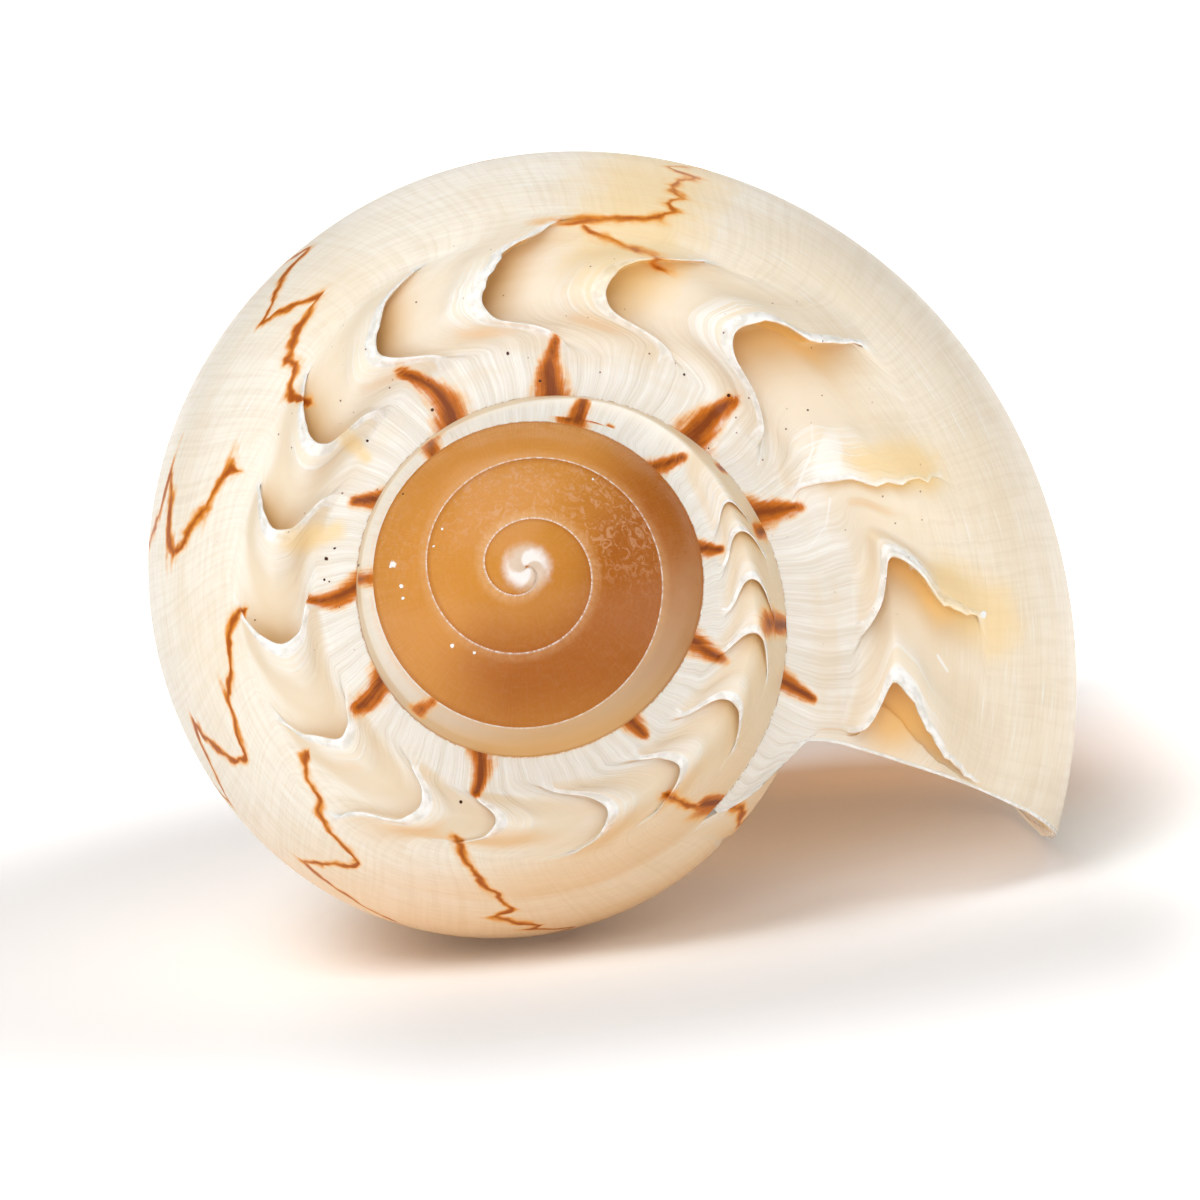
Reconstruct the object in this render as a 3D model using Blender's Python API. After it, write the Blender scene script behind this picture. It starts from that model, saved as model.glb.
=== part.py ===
"""A melon shell (Melo): one dextral shell, lying on its aperture.

Lengths are millimetres in the shell's own frame and become metres as the mesh is made.
That frame has the coiling axis on Z, the apex at the origin and the anterior end below it.
Growth angles are degrees that increase clockwise as seen from above the apex. The suture
ends at SUTURE_END and the outer lip stands at LIP_ANGLE, one place on the last turn.
"""

import math
from collections import namedtuple

import bpy
import numpy as np

MM = 0.001
TURN = 360.0

# Where the growth starts and stops.
SUTURE_START = -1441.0
SUTURE_END = 50.0
LIP_ANGLE = 23.0

# The body whorl grows by this factor a turn, and its depths a little more slowly.
EXPANSION = 1.99
DEPTH_EXPONENT = 0.85
PERIPHERY_DEPTH = 50.0
ANTERIOR_RADIUS = 17.0
ANTERIOR_DEPTH = 137.0
LOWER_BODY_POWER = 1.15
ANTERIOR_SWEEP = 45.0
RAMP_DIP = 0.7
WHORL_BULGE = 0.45
WHORL_BULGE_OUT = 0.27

# The next turn's suture crosses the flank between these sines of its angle. The flank of an
# older turn is drawn to that suture in full, and that of a younger one not at all.
CROSSING_LEAST = 0.12
CROSSING_MOST = 0.94
DRAWN_UNTIL = -310.0
FREE_FROM = -210.0
DRAWN_POWER = 1.5
DRAWN_BELOW = 0.45

# The columella, a pillar with oblique plaits down to the tip of the siphon.
TIP_DEPTH = 140.0
PILLAR_RADIUS = 8.0
PILLAR_TIP_RADIUS = 5.5
PILLAR_TAPER_FROM = 0.5
PILLAR_ROUND = 6
FOOT_SKIRT = 2.0
FOOT_SKIRT_SHARE = 0.15
PLAIT_SHARES = (0.12, 0.30, 0.48, 0.66)
PLAIT_HEIGHT = 1.3
PLAIT_WIDTH = 0.055

# The wall, and the hollow that the animal lived in.
WALL = 2.4
LIP_WALL = 0.9
LIP_TAPER = 40.0
CALLUS = 0.5
FASCIOLE_WALL = 5.0
LIP_FASCIOLE_WALL = 2.5
LIP_CALLUS = 0.2
LEAD_SPAN = 70.0
CAVITY_START = -310.0
FLOOR_CLEAR = 0.5
FLOOR_WIDTH = 1.0

# The suture: growth angle, distance from the axis, depth below the apex.
SUTURE = (
    (-1441, 0.0, 0.0),
    (-1350, 2.6, 0.3),
    (-1259, 4.4, 0.8),
    (-1170, 5.2, 1.2),
    (-1082, 6.6, 1.8),
    (-990, 8.7, 2.7),
    (-898, 10.6, 3.9),
    (-810, 12.1, 5.0),
    (-723, 14.1, 6.4),
    (-630, 16.2, 8.2),
    (-540, 16.5, 9.3),
    (-450, 16.8, 10.6),
    (-364, 18.7, 12.2),
    (-302, 18.6, 12.8),
    (-238, 19.2, 13.3),
    (-175, 18.4, 13.8),
    (-118, 19.0, 14.8),
    (-91, 20.0, 15.5),
    (-63, 21.8, 16.6),
    (-35, 24.2, 18.2),
    (-5, 26.9, 20.0),
    (23, 29.3, 21.7),
    (50, 31.0, 23.0),
)

# The widest part of each whorl: growth angle, distance from the axis.
PERIPHERY = (
    (-1100, 19.0),
    (-720, 19.6),
    (-630, 20.4),
    (-540, 22.4),
    (-450, 25.8),
    (-380, 29.6),
    (-324, 33.0),
    (-280, 36.3),
    (-237, 39.0),
    (-195, 41.0),
    (-155, 44.0),
    (-100, 49.8),
    (-45, 55.4),
    (-5, 59.9),
    (23, 63.8),
    (60, 69.3),
)

# The outer lip from the suture outward: distance from the axis, growth angle.
LIP_EDGE = (
    (31.0, 50.0),
    (31.5, 48.0),
    (32.0, 45.0),
    (32.4, 42.7),
    (33.2, 41.0),
    (33.6, 39.2),
    (33.9, 36.8),
    (34.35, 30.9),
    (34.8, 29.6),
    (35.3, 28.9),
    (36.3, 27.9),
    (37.7, 26.9),
    (39.6, 26.1),
    (42.5, 25.4),
    (45.3, 24.9),
    (51.0, 24.0),
    (55.0, 23.5),
    (61.7, 23.1),
    (70.0, 23.0),
)

# The hollow flutes on the shoulder, oldest first. Each stands on a station, a growth angle
# that it shares with the turns before and after, and its own hollow is turned from there.
# Its rim runs outward and inward from the hollow's back, and sweeps forward as it goes.
Flute = namedtuple("Flute", "station turned radius depth height out sweep_out inn sweep_in")
FLUTES = (
    Flute(-382.0, 0.0, 22.8, 13.6, 1.6, 1.8, 5.0, 1.9, 4.0),
    Flute(-373.5, 0.0, 23.1, 13.8, 1.8, 2.0, 5.0, 2.3, 7.0),
    Flute(-361.0, 0.0, 23.7, 14.0, 2.0, 2.2, 6.4, 2.5, 8.8),
    Flute(-347.5, 0.0, 24.7, 14.3, 2.2, 2.6, 9.0, 2.9, 7.5),
    Flute(-330.0, 0.0, 24.9, 14.6, 2.4, 2.8, 9.0, 3.1, 11.0),
    Flute(-310.0, 0.0, 25.2, 15.0, 2.6, 3.0, 11.0, 2.9, 9.0),
    Flute(-290.0, 0.0, 25.5, 15.2, 2.8, 3.6, 12.0, 2.7, 14.0),
    Flute(-263.0, 0.0, 25.4, 15.5, 2.8, 3.2, 9.0, 2.2, 8.0),
    Flute(-245.0, 0.0, 26.1, 15.7, 3.0, 5.2, 13.5, 2.7, 7.0),
    Flute(-221.0, 0.0, 25.6, 16.0, 3.2, 4.2, 13.0, 2.4, 7.5),
    Flute(-195.0, 0.0, 26.5, 16.2, 3.4, 4.5, 10.0, 2.7, 9.6),
    Flute(-169.0, 0.0, 27.1, 16.5, 3.4, 4.5, 10.5, 2.8, 9.0),
    Flute(-147.5, 0.0, 26.6, 17.0, 3.8, 6.0, 11.5, 2.7, 14.0),
    Flute(-124.0, 0.0, 28.7, 17.6, 4.2, 7.4, 15.0, 2.8, 8.0),
    Flute(-100.0, 0.0, 30.0, 18.3, 4.6, 9.6, 15.5, 3.9, 16.0),
    Flute(-76.0, 0.0, 31.8, 19.3, 5.0, 7.8, 14.5, 3.8, 16.0),
    Flute(-51.5, 0.0, 34.2, 20.6, 5.6, 9.5, 14.0, 4.6, 16.0),
    Flute(-22.0, 3.0, 36.5, 22.2, 3.2, 10.5, 3.0, 4.8, 0.0),
    Flute(-1.0, -4.4, 38.4, 23.4, 5.2, 9.6, 8.4, 3.2, 11.4),
    Flute(12.5, 1.4, 39.7, 24.4, 5.8, 12.0, 8.0, 2.8, 10.8),
)
SHOULDER_BEFORE = ((-700.0, 15.5, 9.5), (-470.0, 20.6, 12.6))
SHOULDER_AFTER = ((50.0, 42.5, 26.6),)
SHOULDER_FROM = -470.0
SHOULDER_FULL = -392.0
HOOD_LEAN = 0.22

# A rim's sweep forward fades out past its ends, and its height falls off to them.
SWEEP_OUT_POWER = 1.8
SWEEP_IN_POWER = 2.6
SWEEP_OUT_LOST = 0.75
SWEEP_OUT_SPAN = 3.5
SWEEP_IN_SPAN = 2.0
TURNED_SPAN = 6.0
ARCH_OUT = 1.05
ARCH_IN = 1.25
ARCH_ROUND = 2.2
ARCH_POWER = 1.1

# From a rim to its hollow's floor: the share of the way, the shift forward and the height left,
# both in heights of the hood. The ground then rises to the next rim over the last of the way.
FOLD_SHARES = (0.0, 0.15, 0.35, 0.7, 1.0)
FOLD_SHIFTS = (0.0, 0.08, 0.0, -0.34, -0.17)
FOLD_HEIGHTS = (1.0, 0.95, 0.72, 0.3, -0.04)
FOLD_FADE = 0.45
RISE_FROM = 0.38
RISE_POWER = 2.0

# How fine the mesh is: columns between stations, and rows over each part of a whorl.
STATIONS = (
    -310.0, -290.0, -263.0, -245.0, -221.0, -195.0, -169.0, -147.5, -124.0,
    -100.0, -76.0, -51.5, -22.0, -13.5, -1.0, 12.5, 30.0,
)
COLUMNS = 6
FOLD_COLUMNS = 1
RAMP_ROWS = 6
FLANK_ROWS = 6
BODY_ROWS = 7
PILLAR_ROWS = 4
SIDE = RAMP_ROWS + FLANK_ROWS
END = SIDE + BODY_ROWS
SPIRE_STRIDE = 2
SPIRE_ROW_STRIDE = 4
CAVITY_STEP = 10.0
CAVITY_FIRST_ROW = 3
CORNER_GAP = 0.6
CORNER_ROW_STEP = 0.15
FLOOR_POINTS = 2
PILLAR_SHARES = np.array((1.0, 0.88, 0.76, 0.66, 0.57, 0.48, 0.39, 0.30, 0.21, 0.12, 0.03))

# How the shell lies on its aperture: turned about its axis, then tipped over onto its lip and belly.
AXIS_TURN = -7.2
TIP_OVER = 77.1

CREAM = (0.87, 0.79, 0.66, 1.0)
ROUGHNESS = 0.3


def ease(low, high, x):
    """0 below low and 1 above high, with a smooth rise between them."""
    x = np.clip((np.asarray(x, float) - low) / (high - low), 0.0, 1.0)
    return x * x * (3.0 - 2.0 * x)


def curve_through(x, xs, ys):
    """A smooth curve through the points, as cubic Hermite pieces."""
    xs, ys = np.asarray(xs, float), np.asarray(ys, float)
    slopes = np.gradient(ys, xs)
    x = np.clip(np.asarray(x, float), xs[0], xs[-1])
    i = np.clip(np.searchsorted(xs, x) - 1, 0, len(xs) - 2)
    span = xs[i + 1] - xs[i]
    t = (x - xs[i]) / span
    return (
        (1 + 2 * t) * (1 - t) ** 2 * ys[i]
        + t * (1 - t) ** 2 * span * slopes[i]
        + t * t * (3 - 2 * t) * ys[i + 1]
        + t * t * (t - 1) * span * slopes[i + 1]
    )


def suture(growth):
    """Distance from the axis and depth of the suture. Past its end it goes on as a spiral."""
    table = np.array(SUTURE, float).T
    past = np.maximum(np.asarray(growth, float) - SUTURE_END, 0.0) / TURN
    radius = curve_through(growth, table[0], table[1]) * EXPANSION**past
    depth = curve_through(growth, table[0], table[2]) * EXPANSION**past
    return radius, depth


def shoulder(growth):
    """Distance from the axis and depth of the shoulder, where the hollows' backs stand."""
    backs = [(f.station + f.turned, f.radius, f.depth) for f in FLUTES]
    table = np.array([*SHOULDER_BEFORE, *backs, *SHOULDER_AFTER], float).T
    return curve_through(growth, table[0], table[1]), curve_through(growth, table[0], table[2])


def scale(growth, exponent=1.0):
    """The size at a growth angle as a share of the size at the lip."""
    return EXPANSION ** (exponent * (np.asarray(growth, float) - LIP_ANGLE) / TURN)


def periphery(growth):
    """Distance from the axis and depth of the widest part of a whorl."""
    table = np.array(PERIPHERY, float).T
    return curve_through(growth, table[0], table[1]), PERIPHERY_DEPTH * scale(growth, DEPTH_EXPONENT)


def anterior(growth):
    """Distance from the axis and depth of the anterior end."""
    return ANTERIOR_RADIUS * scale(growth), ANTERIOR_DEPTH * scale(growth, DEPTH_EXPONENT)


def pillar_radius(depth):
    """The pillar's radius, which tapers over the lower part of its depth."""
    share = np.clip((depth / TIP_DEPTH - PILLAR_TAPER_FROM) / (1 - PILLAR_TAPER_FROM), 0.0, 1.0)
    return PILLAR_RADIUS + (PILLAR_TIP_RADIUS - PILLAR_RADIUS) * share**2


def next_suture(growth):
    """Where the next turn's suture crosses this turn."""
    return suture(np.asarray(growth, float) + TURN)


def flank(growth, angle):
    """The body's outline from the shoulder (angle 0) by the periphery (90) to the anterior end (180)."""
    r_f, d_f = shoulder(growth)
    r_p, d_p = periphery(growth)
    r_a, d_a = anterior(growth)
    s, c = np.sin(angle), np.cos(angle)
    upper = angle <= math.pi / 2
    radius = np.where(
        upper, r_f + (r_p - r_f) * s, r_a + (r_p - r_a) * np.maximum(s, 0) ** LOWER_BODY_POWER
    )
    depth = np.where(upper, d_p - (d_p - d_f) * c, d_p - (d_a - d_p) * c)
    return radius, depth


def crossing_angle(growth):
    """The flank angle at which the next turn's suture crosses this turn."""
    r_f, _ = shoulder(growth)
    r_p, _ = periphery(growth)
    r_m, _ = next_suture(growth)
    return np.arcsin(np.clip((r_m - r_f) / (r_p - r_f), CROSSING_LEAST, CROSSING_MOST))


def outline(growth, row):
    """Distance from the axis and depth at a row of a growth line, without its flutes."""
    growth, row = np.broadcast_arrays(np.asarray(growth, float), np.asarray(row, float))
    r_s, d_s = suture(np.maximum(growth, SUTURE_START))
    r_f, d_f = shoulder(growth)
    r_m, d_m = next_suture(growth)
    cross = crossing_angle(growth)

    x = np.clip(row / RAMP_ROWS, 0.0, 1.0)
    ramp_r = r_s + (r_f - r_s) * x
    ramp_d = d_s + (d_f - d_s) * x + RAMP_DIP * 4 * x * (1 - x)

    across = np.clip((row - RAMP_ROWS) / FLANK_ROWS, 0.0, 1.0)
    down = np.clip((row - SIDE) / BODY_ROWS, 0.0, 1.0)
    flank_r, flank_d = flank(growth, cross * across + (math.pi - cross) * down)
    edge_r, edge_d = flank(growth, cross)
    drawn = (1 - ease(DRAWN_UNTIL, FREE_FROM, growth)) * across**DRAWN_POWER
    drawn = drawn * (1 - ease(0.0, DRAWN_BELOW, down))
    flank_r = flank_r + (r_m - edge_r) * drawn
    flank_d = flank_d + (d_m - edge_d) * drawn

    radius = np.where(row < RAMP_ROWS, ramp_r, flank_r)
    depth = np.where(row < RAMP_ROWS, ramp_d, flank_d)

    # The early turns are plain bulging strips from one suture to the next.
    y = np.clip(row / SIDE, 0.0, 1.0)
    swell = 4 * y * (1 - y)
    plain_r = r_s + (r_m - r_s) * y + WHORL_BULGE_OUT * swell
    plain_d = d_s + (d_m - d_s) * y - WHORL_BULGE * swell
    plain = (1 - ease(SHOULDER_FROM, SHOULDER_FULL, growth)) * (row <= SIDE)
    radius = radius + (plain_r - radius) * plain
    depth = depth + (plain_d - depth) * plain

    # Past the anterior end the surface turns in to the pillar and follows it to the tip.
    r_a, d_a = anterior(growth)
    z = np.clip((row - END) / PILLAR_ROWS, 0.0, 1.0)
    foot_d = d_a + (TIP_DEPTH - d_a) * z
    foot_r = pillar_radius(foot_d) * np.sqrt(np.clip(1 - z**PILLAR_ROUND, 0.0, 1.0))
    foot_r = np.where(z < FOOT_SKIRT_SHARE, np.minimum(foot_r + FOOT_SKIRT, r_a), foot_r)
    past = row > END
    return np.where(past, foot_r, radius), np.where(past, foot_d, depth)


def lip_lead(rows, radius):
    """How far the lip's edge stands from the end of the suture, in degrees of growth."""
    table = np.array(LIP_EDGE).T
    angle = np.where(rows > SIDE, LIP_ANGLE, np.interp(radius, table[0], table[1]))
    return angle - SUTURE_END


def sweep_back(rows):
    """Growth lines run back towards the siphonal notch, in degrees of growth."""
    return -ANTERIOR_SWEEP * ease(SIDE + 2, END, rows) ** 1.3


def stations():
    """(growth angle, the flute there or None) for every station, from the first turn to the lip."""
    turns = int(round((SUTURE_END - SUTURE_START) / TURN)) + 2
    angles = [a - TURN * t for t in range(turns) for a in STATIONS]
    angles = sorted(a for a in angles if a >= SUTURE_START - TURN - 0.01) + [SUTURE_END]
    flutes = {f.station: f for f in FLUTES}
    return [(a, flutes.get(a)) for a in angles]


def rim_sweep(flute, v):
    """How far a flute's rim is swept forward, in degrees, at a distance v outward of its back."""
    if flute is None:
        return np.zeros_like(v)
    out = np.clip(v / flute.out, 0.0, 1.0) ** SWEEP_OUT_POWER * flute.sweep_out
    out = out * (1 - SWEEP_OUT_LOST * ease(flute.out, flute.out * SWEEP_OUT_SPAN, v))
    inn = np.clip(-v / flute.inn, 0.0, 1.0) ** SWEEP_IN_POWER * flute.sweep_in
    inn = inn * (1 - ease(flute.inn, flute.inn * SWEEP_IN_SPAN, -v))
    return flute.turned * (1 - ease(0.0, TURNED_SPAN, -v - flute.inn)) + out + inn


def arch(flute, v):
    """The share of a flute's height at a distance v outward of its back."""
    if flute is None:
        return np.zeros_like(v)
    share = np.where(v > 0, v / (flute.out * ARCH_OUT), -v / (flute.inn * ARCH_IN))
    return np.clip(1 - np.abs(share) ** ARCH_ROUND, 0.0, 1.0) ** ARCH_POWER


def fold(fraction):
    """Forward shift in heights, and height, over the fold from a rim (0) to its hollow's floor (1)."""
    shift = np.interp(fraction, FOLD_SHARES, FOLD_SHIFTS)
    return shift, np.interp(fraction, FOLD_SHARES, FOLD_HEIGHTS)


def rise(x):
    """Height on the way up to the next rim, x being the share of the way there."""
    return np.clip((x - RISE_FROM) / (1 - RISE_FROM), 0.0, 1.0) ** RISE_POWER


def line_shift(station, v, rows, radius):
    """How far ahead of its station a growth line runs. A line with no flute of its own, among
    those that have one, runs between its neighbours, and the last line is the lip."""
    if station == SUTURE_END:
        return lip_lead(rows, radius)
    if station < FLUTES[0].station:
        return np.zeros_like(v)
    for flute in FLUTES:
        if flute.station == station:
            return rim_sweep(flute, v)
    before = max(f.station for f in FLUTES if f.station < station)
    after = min([f.station for f in FLUTES if f.station > station] + [SUTURE_END])
    share = (station - before) / (after - before)
    early, late = (line_shift(s, v, rows, radius) for s in (before, after))
    return early * (1 - share) + late * share


def columns():
    """Every growth line as a column: its growth angle on the suture, and its points on all rows."""
    rows = np.arange(END + PILLAR_ROWS + 1, dtype=float)
    known = stations()
    angles, points = [], []
    for (a, flute), (b, following) in zip(known, known[1:]):
        for step in range(COLUMNS):
            angles.append(a + (b - a) * step / COLUMNS)
            points.append(growth_line(rows, a, flute, b, following, step / COLUMNS))
    angles.append(SUTURE_END)
    points.append(growth_line(rows, STATIONS[-1], None, SUTURE_END, None, 1.0))
    return np.array(angles), np.array(points)


def growth_line(rows, a, flute, b, following, fraction):
    """Points of one growth line, a fraction of the way from a flute at a to the one at b."""
    base = a + (b - a) * fraction
    radius, _ = outline(base, rows)
    r_f, _ = shoulder(base)
    v = radius - r_f
    v = np.where(rows > SIDE, v[SIDE] + 2.0 * (rows - SIDE), v)
    hidden = (rows == 0) | (rows == SIDE) & (base <= SUTURE_END - TURN)

    fold_end = FOLD_COLUMNS / COLUMNS
    arch_a, arch_b = arch(flute, v), arch(following, v)
    if fraction <= fold_end:
        shift, height = fold(fraction / fold_end)
        spread = fraction * (b - a)
    else:
        shift, height = fold(1.0)
        settle = (fraction - fold_end) / (1 - fold_end)
        fade = float(1 - ease(0.0, FOLD_FADE, settle))
        shift, height = shift * fade, height * fade
        spread = fold_end * (b - a) * fade
    tall_a = flute.height if flute else 0.0
    tall_b = following.height if following else 0.0
    across = math.radians(1.0) * np.maximum(r_f, 1.0)
    ahead = arch_a * (shift * tall_a / across - spread)
    up = arch_a * height * tall_a + arch_b * rise(fraction) * tall_b

    along = np.clip(fraction - fold_end * (1 - fraction) * arch_a, 0.0, 1.0)
    skew = line_shift(a, v, rows, radius) * (1 - along) + line_shift(b, v, rows, radius) * along
    turned = base + np.where(hidden, 0.0, ahead + skew) + sweep_back(rows)

    radius, depth = outline(turned, rows)
    radius = radius + np.where(hidden, 0.0, up * HOOD_LEAN)
    depth = depth - np.where(hidden, 0.0, up)
    theta = np.radians(turned)
    return np.stack([radius * np.cos(theta), -radius * np.sin(theta), -depth], axis=1)


class Surface:
    """Gathers points and faces for one mesh."""

    def __init__(self):
        self.points = []
        self.faces = []

    def add(self, point):
        self.points.append(tuple(float(v) for v in point))
        return len(self.points) - 1

    def face(self, corners):
        ring = [c for i, c in enumerate(corners) if c != corners[i - 1]]
        if len(set(ring)) >= 3:
            self.faces.append(ring)

    def make(self, name, collection, material):
        mesh = bpy.data.meshes.new(name)
        mesh.from_pydata([[v * MM for v in p] for p in self.points], [], self.faces)
        mesh.materials.append(material)
        mesh.validate()
        mesh.polygons.foreach_set("use_smooth", [True] * len(mesh.polygons))
        obj = bpy.data.objects.new(name, mesh)
        collection.objects.link(obj)
        return obj


def index_of_columns(surface, angles, points):
    """Point numbers by column and row. A turn's first row is the row on the turn before where its
    suture lies, and rows that nothing shows are left out."""
    last = END + PILLAR_ROWS
    per_turn = COLUMNS * len(STATIONS)
    apex = surface.add((0.0, 0.0, 0.0))
    tip = surface.add((0.0, 0.0, -TIP_DEPTH))
    fine_from = int(np.searchsorted(angles, SHOULDER_FROM)) // COLUMNS * COLUMNS
    body_from = len(angles) - 1 - per_turn
    index = np.full((len(angles), last + 1), -1)
    for column in range(len(angles)):
        spire = column < fine_from
        if spire and column % SPIRE_STRIDE:
            rows = [SIDE] if column + per_turn >= fine_from else []
        elif spire:
            rows = range(0, SIDE + 1, SPIRE_ROW_STRIDE)
        else:
            rows = range(0, (last if column >= body_from else SIDE) + 1)
        for row in rows:
            if column == 0 or (row == 0 and column < per_turn):
                index[column, row] = apex
            elif row == 0:
                index[column, row] = index[column - per_turn, SIDE]
            elif row == last:
                index[column, row] = tip
            else:
                index[column, row] = surface.add(points[column, row])
    return index, fine_from, body_from


def cover(surface, index, fine_from, body_from):
    """Faces between each column and the next."""
    last = index.shape[1] - 1
    columns = [*range(0, fine_from, SPIRE_STRIDE), *range(fine_from, index.shape[0])]
    for left, right in zip(columns, columns[1:]):
        step = SPIRE_ROW_STRIDE if left < fine_from else 1
        bottom = last if left >= body_from else SIDE
        for row in range(0, bottom, step):
            near = [index[left, row], index[left, row + step]]
            far = [index[right, r] for r in range(row + step, row - 1, -1) if index[right, r] >= 0]
            below = [index[c, row + step] for c in range(left + 1, right) if index[c, row + step] >= 0]
            above = [index[c, row] for c in range(right - 1, left, -1) if index[c, row] >= 0]
            surface.face((near + below + far + above)[::-1])


def offset(radius, depth, by):
    """A line in the radial plane moved sideways, inward for a line that runs from suture to tip."""
    along_r, along_d = np.gradient(radius), np.gradient(depth)
    length = np.hypot(along_r, along_d)
    return radius - by * along_d / length, depth + by * along_r / length


def plaits(share):
    """Height of the oblique folds on the pillar, by the share of the way down it."""
    return sum(PLAIT_HEIGHT * np.exp(-(((share - p) / PLAIT_WIDTH) ** 2)) for p in PLAIT_SHARES)


def corner_rows(growth, wall, callus):
    """Rows of the outer wall and of the whorl within it at the corner of the hollow by the suture."""
    fine = np.linspace(SIDE, END, 100)
    face_r, face_d = offset(*outline(growth - TURN, fine), callus)
    trial = np.linspace(1.0, RAMP_ROWS + 2.0, 100)
    trial_r, trial_d = offset(*outline(growth, trial), wall)
    clear = np.argmax(trial_r > np.interp(trial_d, face_d, face_r) + CORNER_GAP)
    return trial[clear], fine[np.argmax(face_d > trial_d[clear] + CORNER_GAP)]


def cavity_ring(growth):
    """Points around the hollow along one growth line: outer wall, floor, pillar, inner wall."""
    by_lip = ease(SUTURE_END - LIP_TAPER, SUTURE_END, growth)
    wall = WALL + (LIP_WALL - WALL) * by_lip
    callus = CALLUS + (LIP_CALLUS - CALLUS) * by_lip
    wall_row, face_row = corner_rows(growth, wall, callus)

    rows = np.arange(CAVITY_FIRST_ROW, END + 1)
    rows = np.maximum(rows, wall_row + CORNER_ROW_STEP * np.arange(len(rows)))
    lead = lip_lead(rows, outline(growth, rows)[0]) * ease(SUTURE_END - LEAD_SPAN, SUTURE_END, growth)
    wall_g = growth + lead + sweep_back(rows)
    wall_r, wall_d = offset(*outline(wall_g, rows), wall)

    base = growth + sweep_back(END)
    _, d_a = anterior(wall_g[-1])
    floor = d_a - (FASCIOLE_WALL + (LIP_FASCIOLE_WALL - FASCIOLE_WALL) * by_lip)
    _, d_b = anterior(base - TURN)
    pillar_d = d_b + (floor - d_b) * PILLAR_SHARES
    pillar_rows = END + PILLAR_ROWS * (pillar_d - d_b) / (TIP_DEPTH - d_b)
    pillar_r = outline(base - TURN, pillar_rows)[0] + callus + plaits(PILLAR_SHARES)
    wall_d = np.minimum(wall_d, floor - FLOOR_CLEAR)
    wall_r[-1], wall_d[-1] = max(wall_r[-1], pillar_r[0] + FLOOR_WIDTH), floor
    across = np.linspace(0, 1, FLOOR_POINTS + 2)[1:-1]
    floor_r = wall_r[-1] + (pillar_r[0] - wall_r[-1]) * across
    floor_g = wall_g[-1] + (base - wall_g[-1]) * across

    rows = np.arange(SIDE + 1, END + 1)
    rows = np.maximum(rows, face_row + CORNER_ROW_STEP * np.arange(len(rows)))[::-1]
    face_g = growth + sweep_back(rows)
    face_r, face_d = offset(*outline(face_g - TURN, rows), callus)

    turned = np.radians(np.concatenate([wall_g, floor_g, np.full(len(pillar_d), base), face_g]))
    radius = np.concatenate([wall_r, floor_r, pillar_r, face_r])
    depth = np.concatenate([wall_d, np.full(FLOOR_POINTS, floor), pillar_d, face_d])
    return np.stack([radius * np.cos(turned), -radius * np.sin(turned), -depth], axis=1)


def line_cavity(surface):
    """Lines the hollow with faces and gives the point numbers of its last ring."""
    steps = int(round((SUTURE_END - CAVITY_START) / CAVITY_STEP))
    near = [surface.add(p) for p in cavity_ring(CAVITY_START)]
    surface.face(near[::-1])
    for growth in np.linspace(CAVITY_START, SUTURE_END, steps + 1)[1:]:
        far = [surface.add(p) for p in cavity_ring(growth)]
        for i in range(len(near)):
            surface.face([near[i - 1], near[i], far[i], far[i - 1]])
        near = far
    return near


def stitch(surface, outer, inner):
    """Triangles between two lines of different numbers of points."""
    i = j = 0
    while i < len(outer) - 1 or j < len(inner) - 1:
        if (i + 1) * (len(inner) - 1) <= (j + 1) * (len(outer) - 1) and i < len(outer) - 1:
            surface.face([outer[i + 1], outer[i], inner[j]])
            i += 1
        else:
            surface.face([outer[i], inner[j], inner[j + 1]])
            j += 1


def close_aperture(surface, index, body_from, ring):
    """The edge of the aperture: the lip, the notch, the pillar and the end of the inner wall."""
    lip = [int(i) for i in index[-1]]
    before = [int(i) for i in index[body_from]]
    walls = END + 1 - CAVITY_FIRST_ROW
    foot = walls + FLOOR_POINTS
    faces = foot + len(PILLAR_SHARES)
    stitch(surface, lip[: END + 1], ring[:walls])
    stitch(surface, lip[END:], ring[walls - 1 : foot + 1])
    stitch(surface, before[: END - 1 : -1], ring[foot : faces + 1])
    stitch(surface, before[END : SIDE : -1], ring[faces:])
    stitch(surface, [before[SIDE + 1], lip[0]], [ring[-1], ring[0]])


def shell_solid(collection, material):
    """The whole shell as one closed mesh, in its own frame."""
    angles, points = columns()
    surface = Surface()
    index, fine_from, body_from = index_of_columns(surface, angles, points)
    cover(surface, index, fine_from, body_from)
    close_aperture(surface, index, body_from, line_cavity(surface))
    return surface.make("melon_shell", collection, material)


def lay_down(shell):
    """Rests the shell on the ground, with the middle of its bounding box over the origin."""
    shell.rotation_mode = "ZYX"
    shell.rotation_euler = (math.radians(TIP_OVER), 0.0, math.radians(AXIS_TURN))
    bpy.context.view_layer.update()
    corners = np.array([shell.matrix_world @ v.co for v in shell.data.vertices])
    low, high = corners.min(axis=0), corners.max(axis=0)
    middle = (low + high) / 2
    shell.location = (-middle[0], -middle[1], -low[2])


def main():
    for obj in list(bpy.data.objects):
        bpy.data.objects.remove(obj, do_unlink=True)
    parts = bpy.data.collections.new("melon_shell")
    bpy.context.scene.collection.children.link(parts)
    material = bpy.data.materials.new("cream_shell")
    material.use_nodes = True
    surface = material.node_tree.nodes["Principled BSDF"]
    surface.inputs["Base Color"].default_value = CREAM
    surface.inputs["Roughness"].default_value = ROUGHNESS
    surface.inputs["Metallic"].default_value = 0.0
    lay_down(shell_solid(parts, material))


main()
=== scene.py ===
# A melon shell lying on its aperture, looked at from its apex.
import functools
import math
import bpy
import numpy as np
from mathutils import Matrix, Vector


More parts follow.
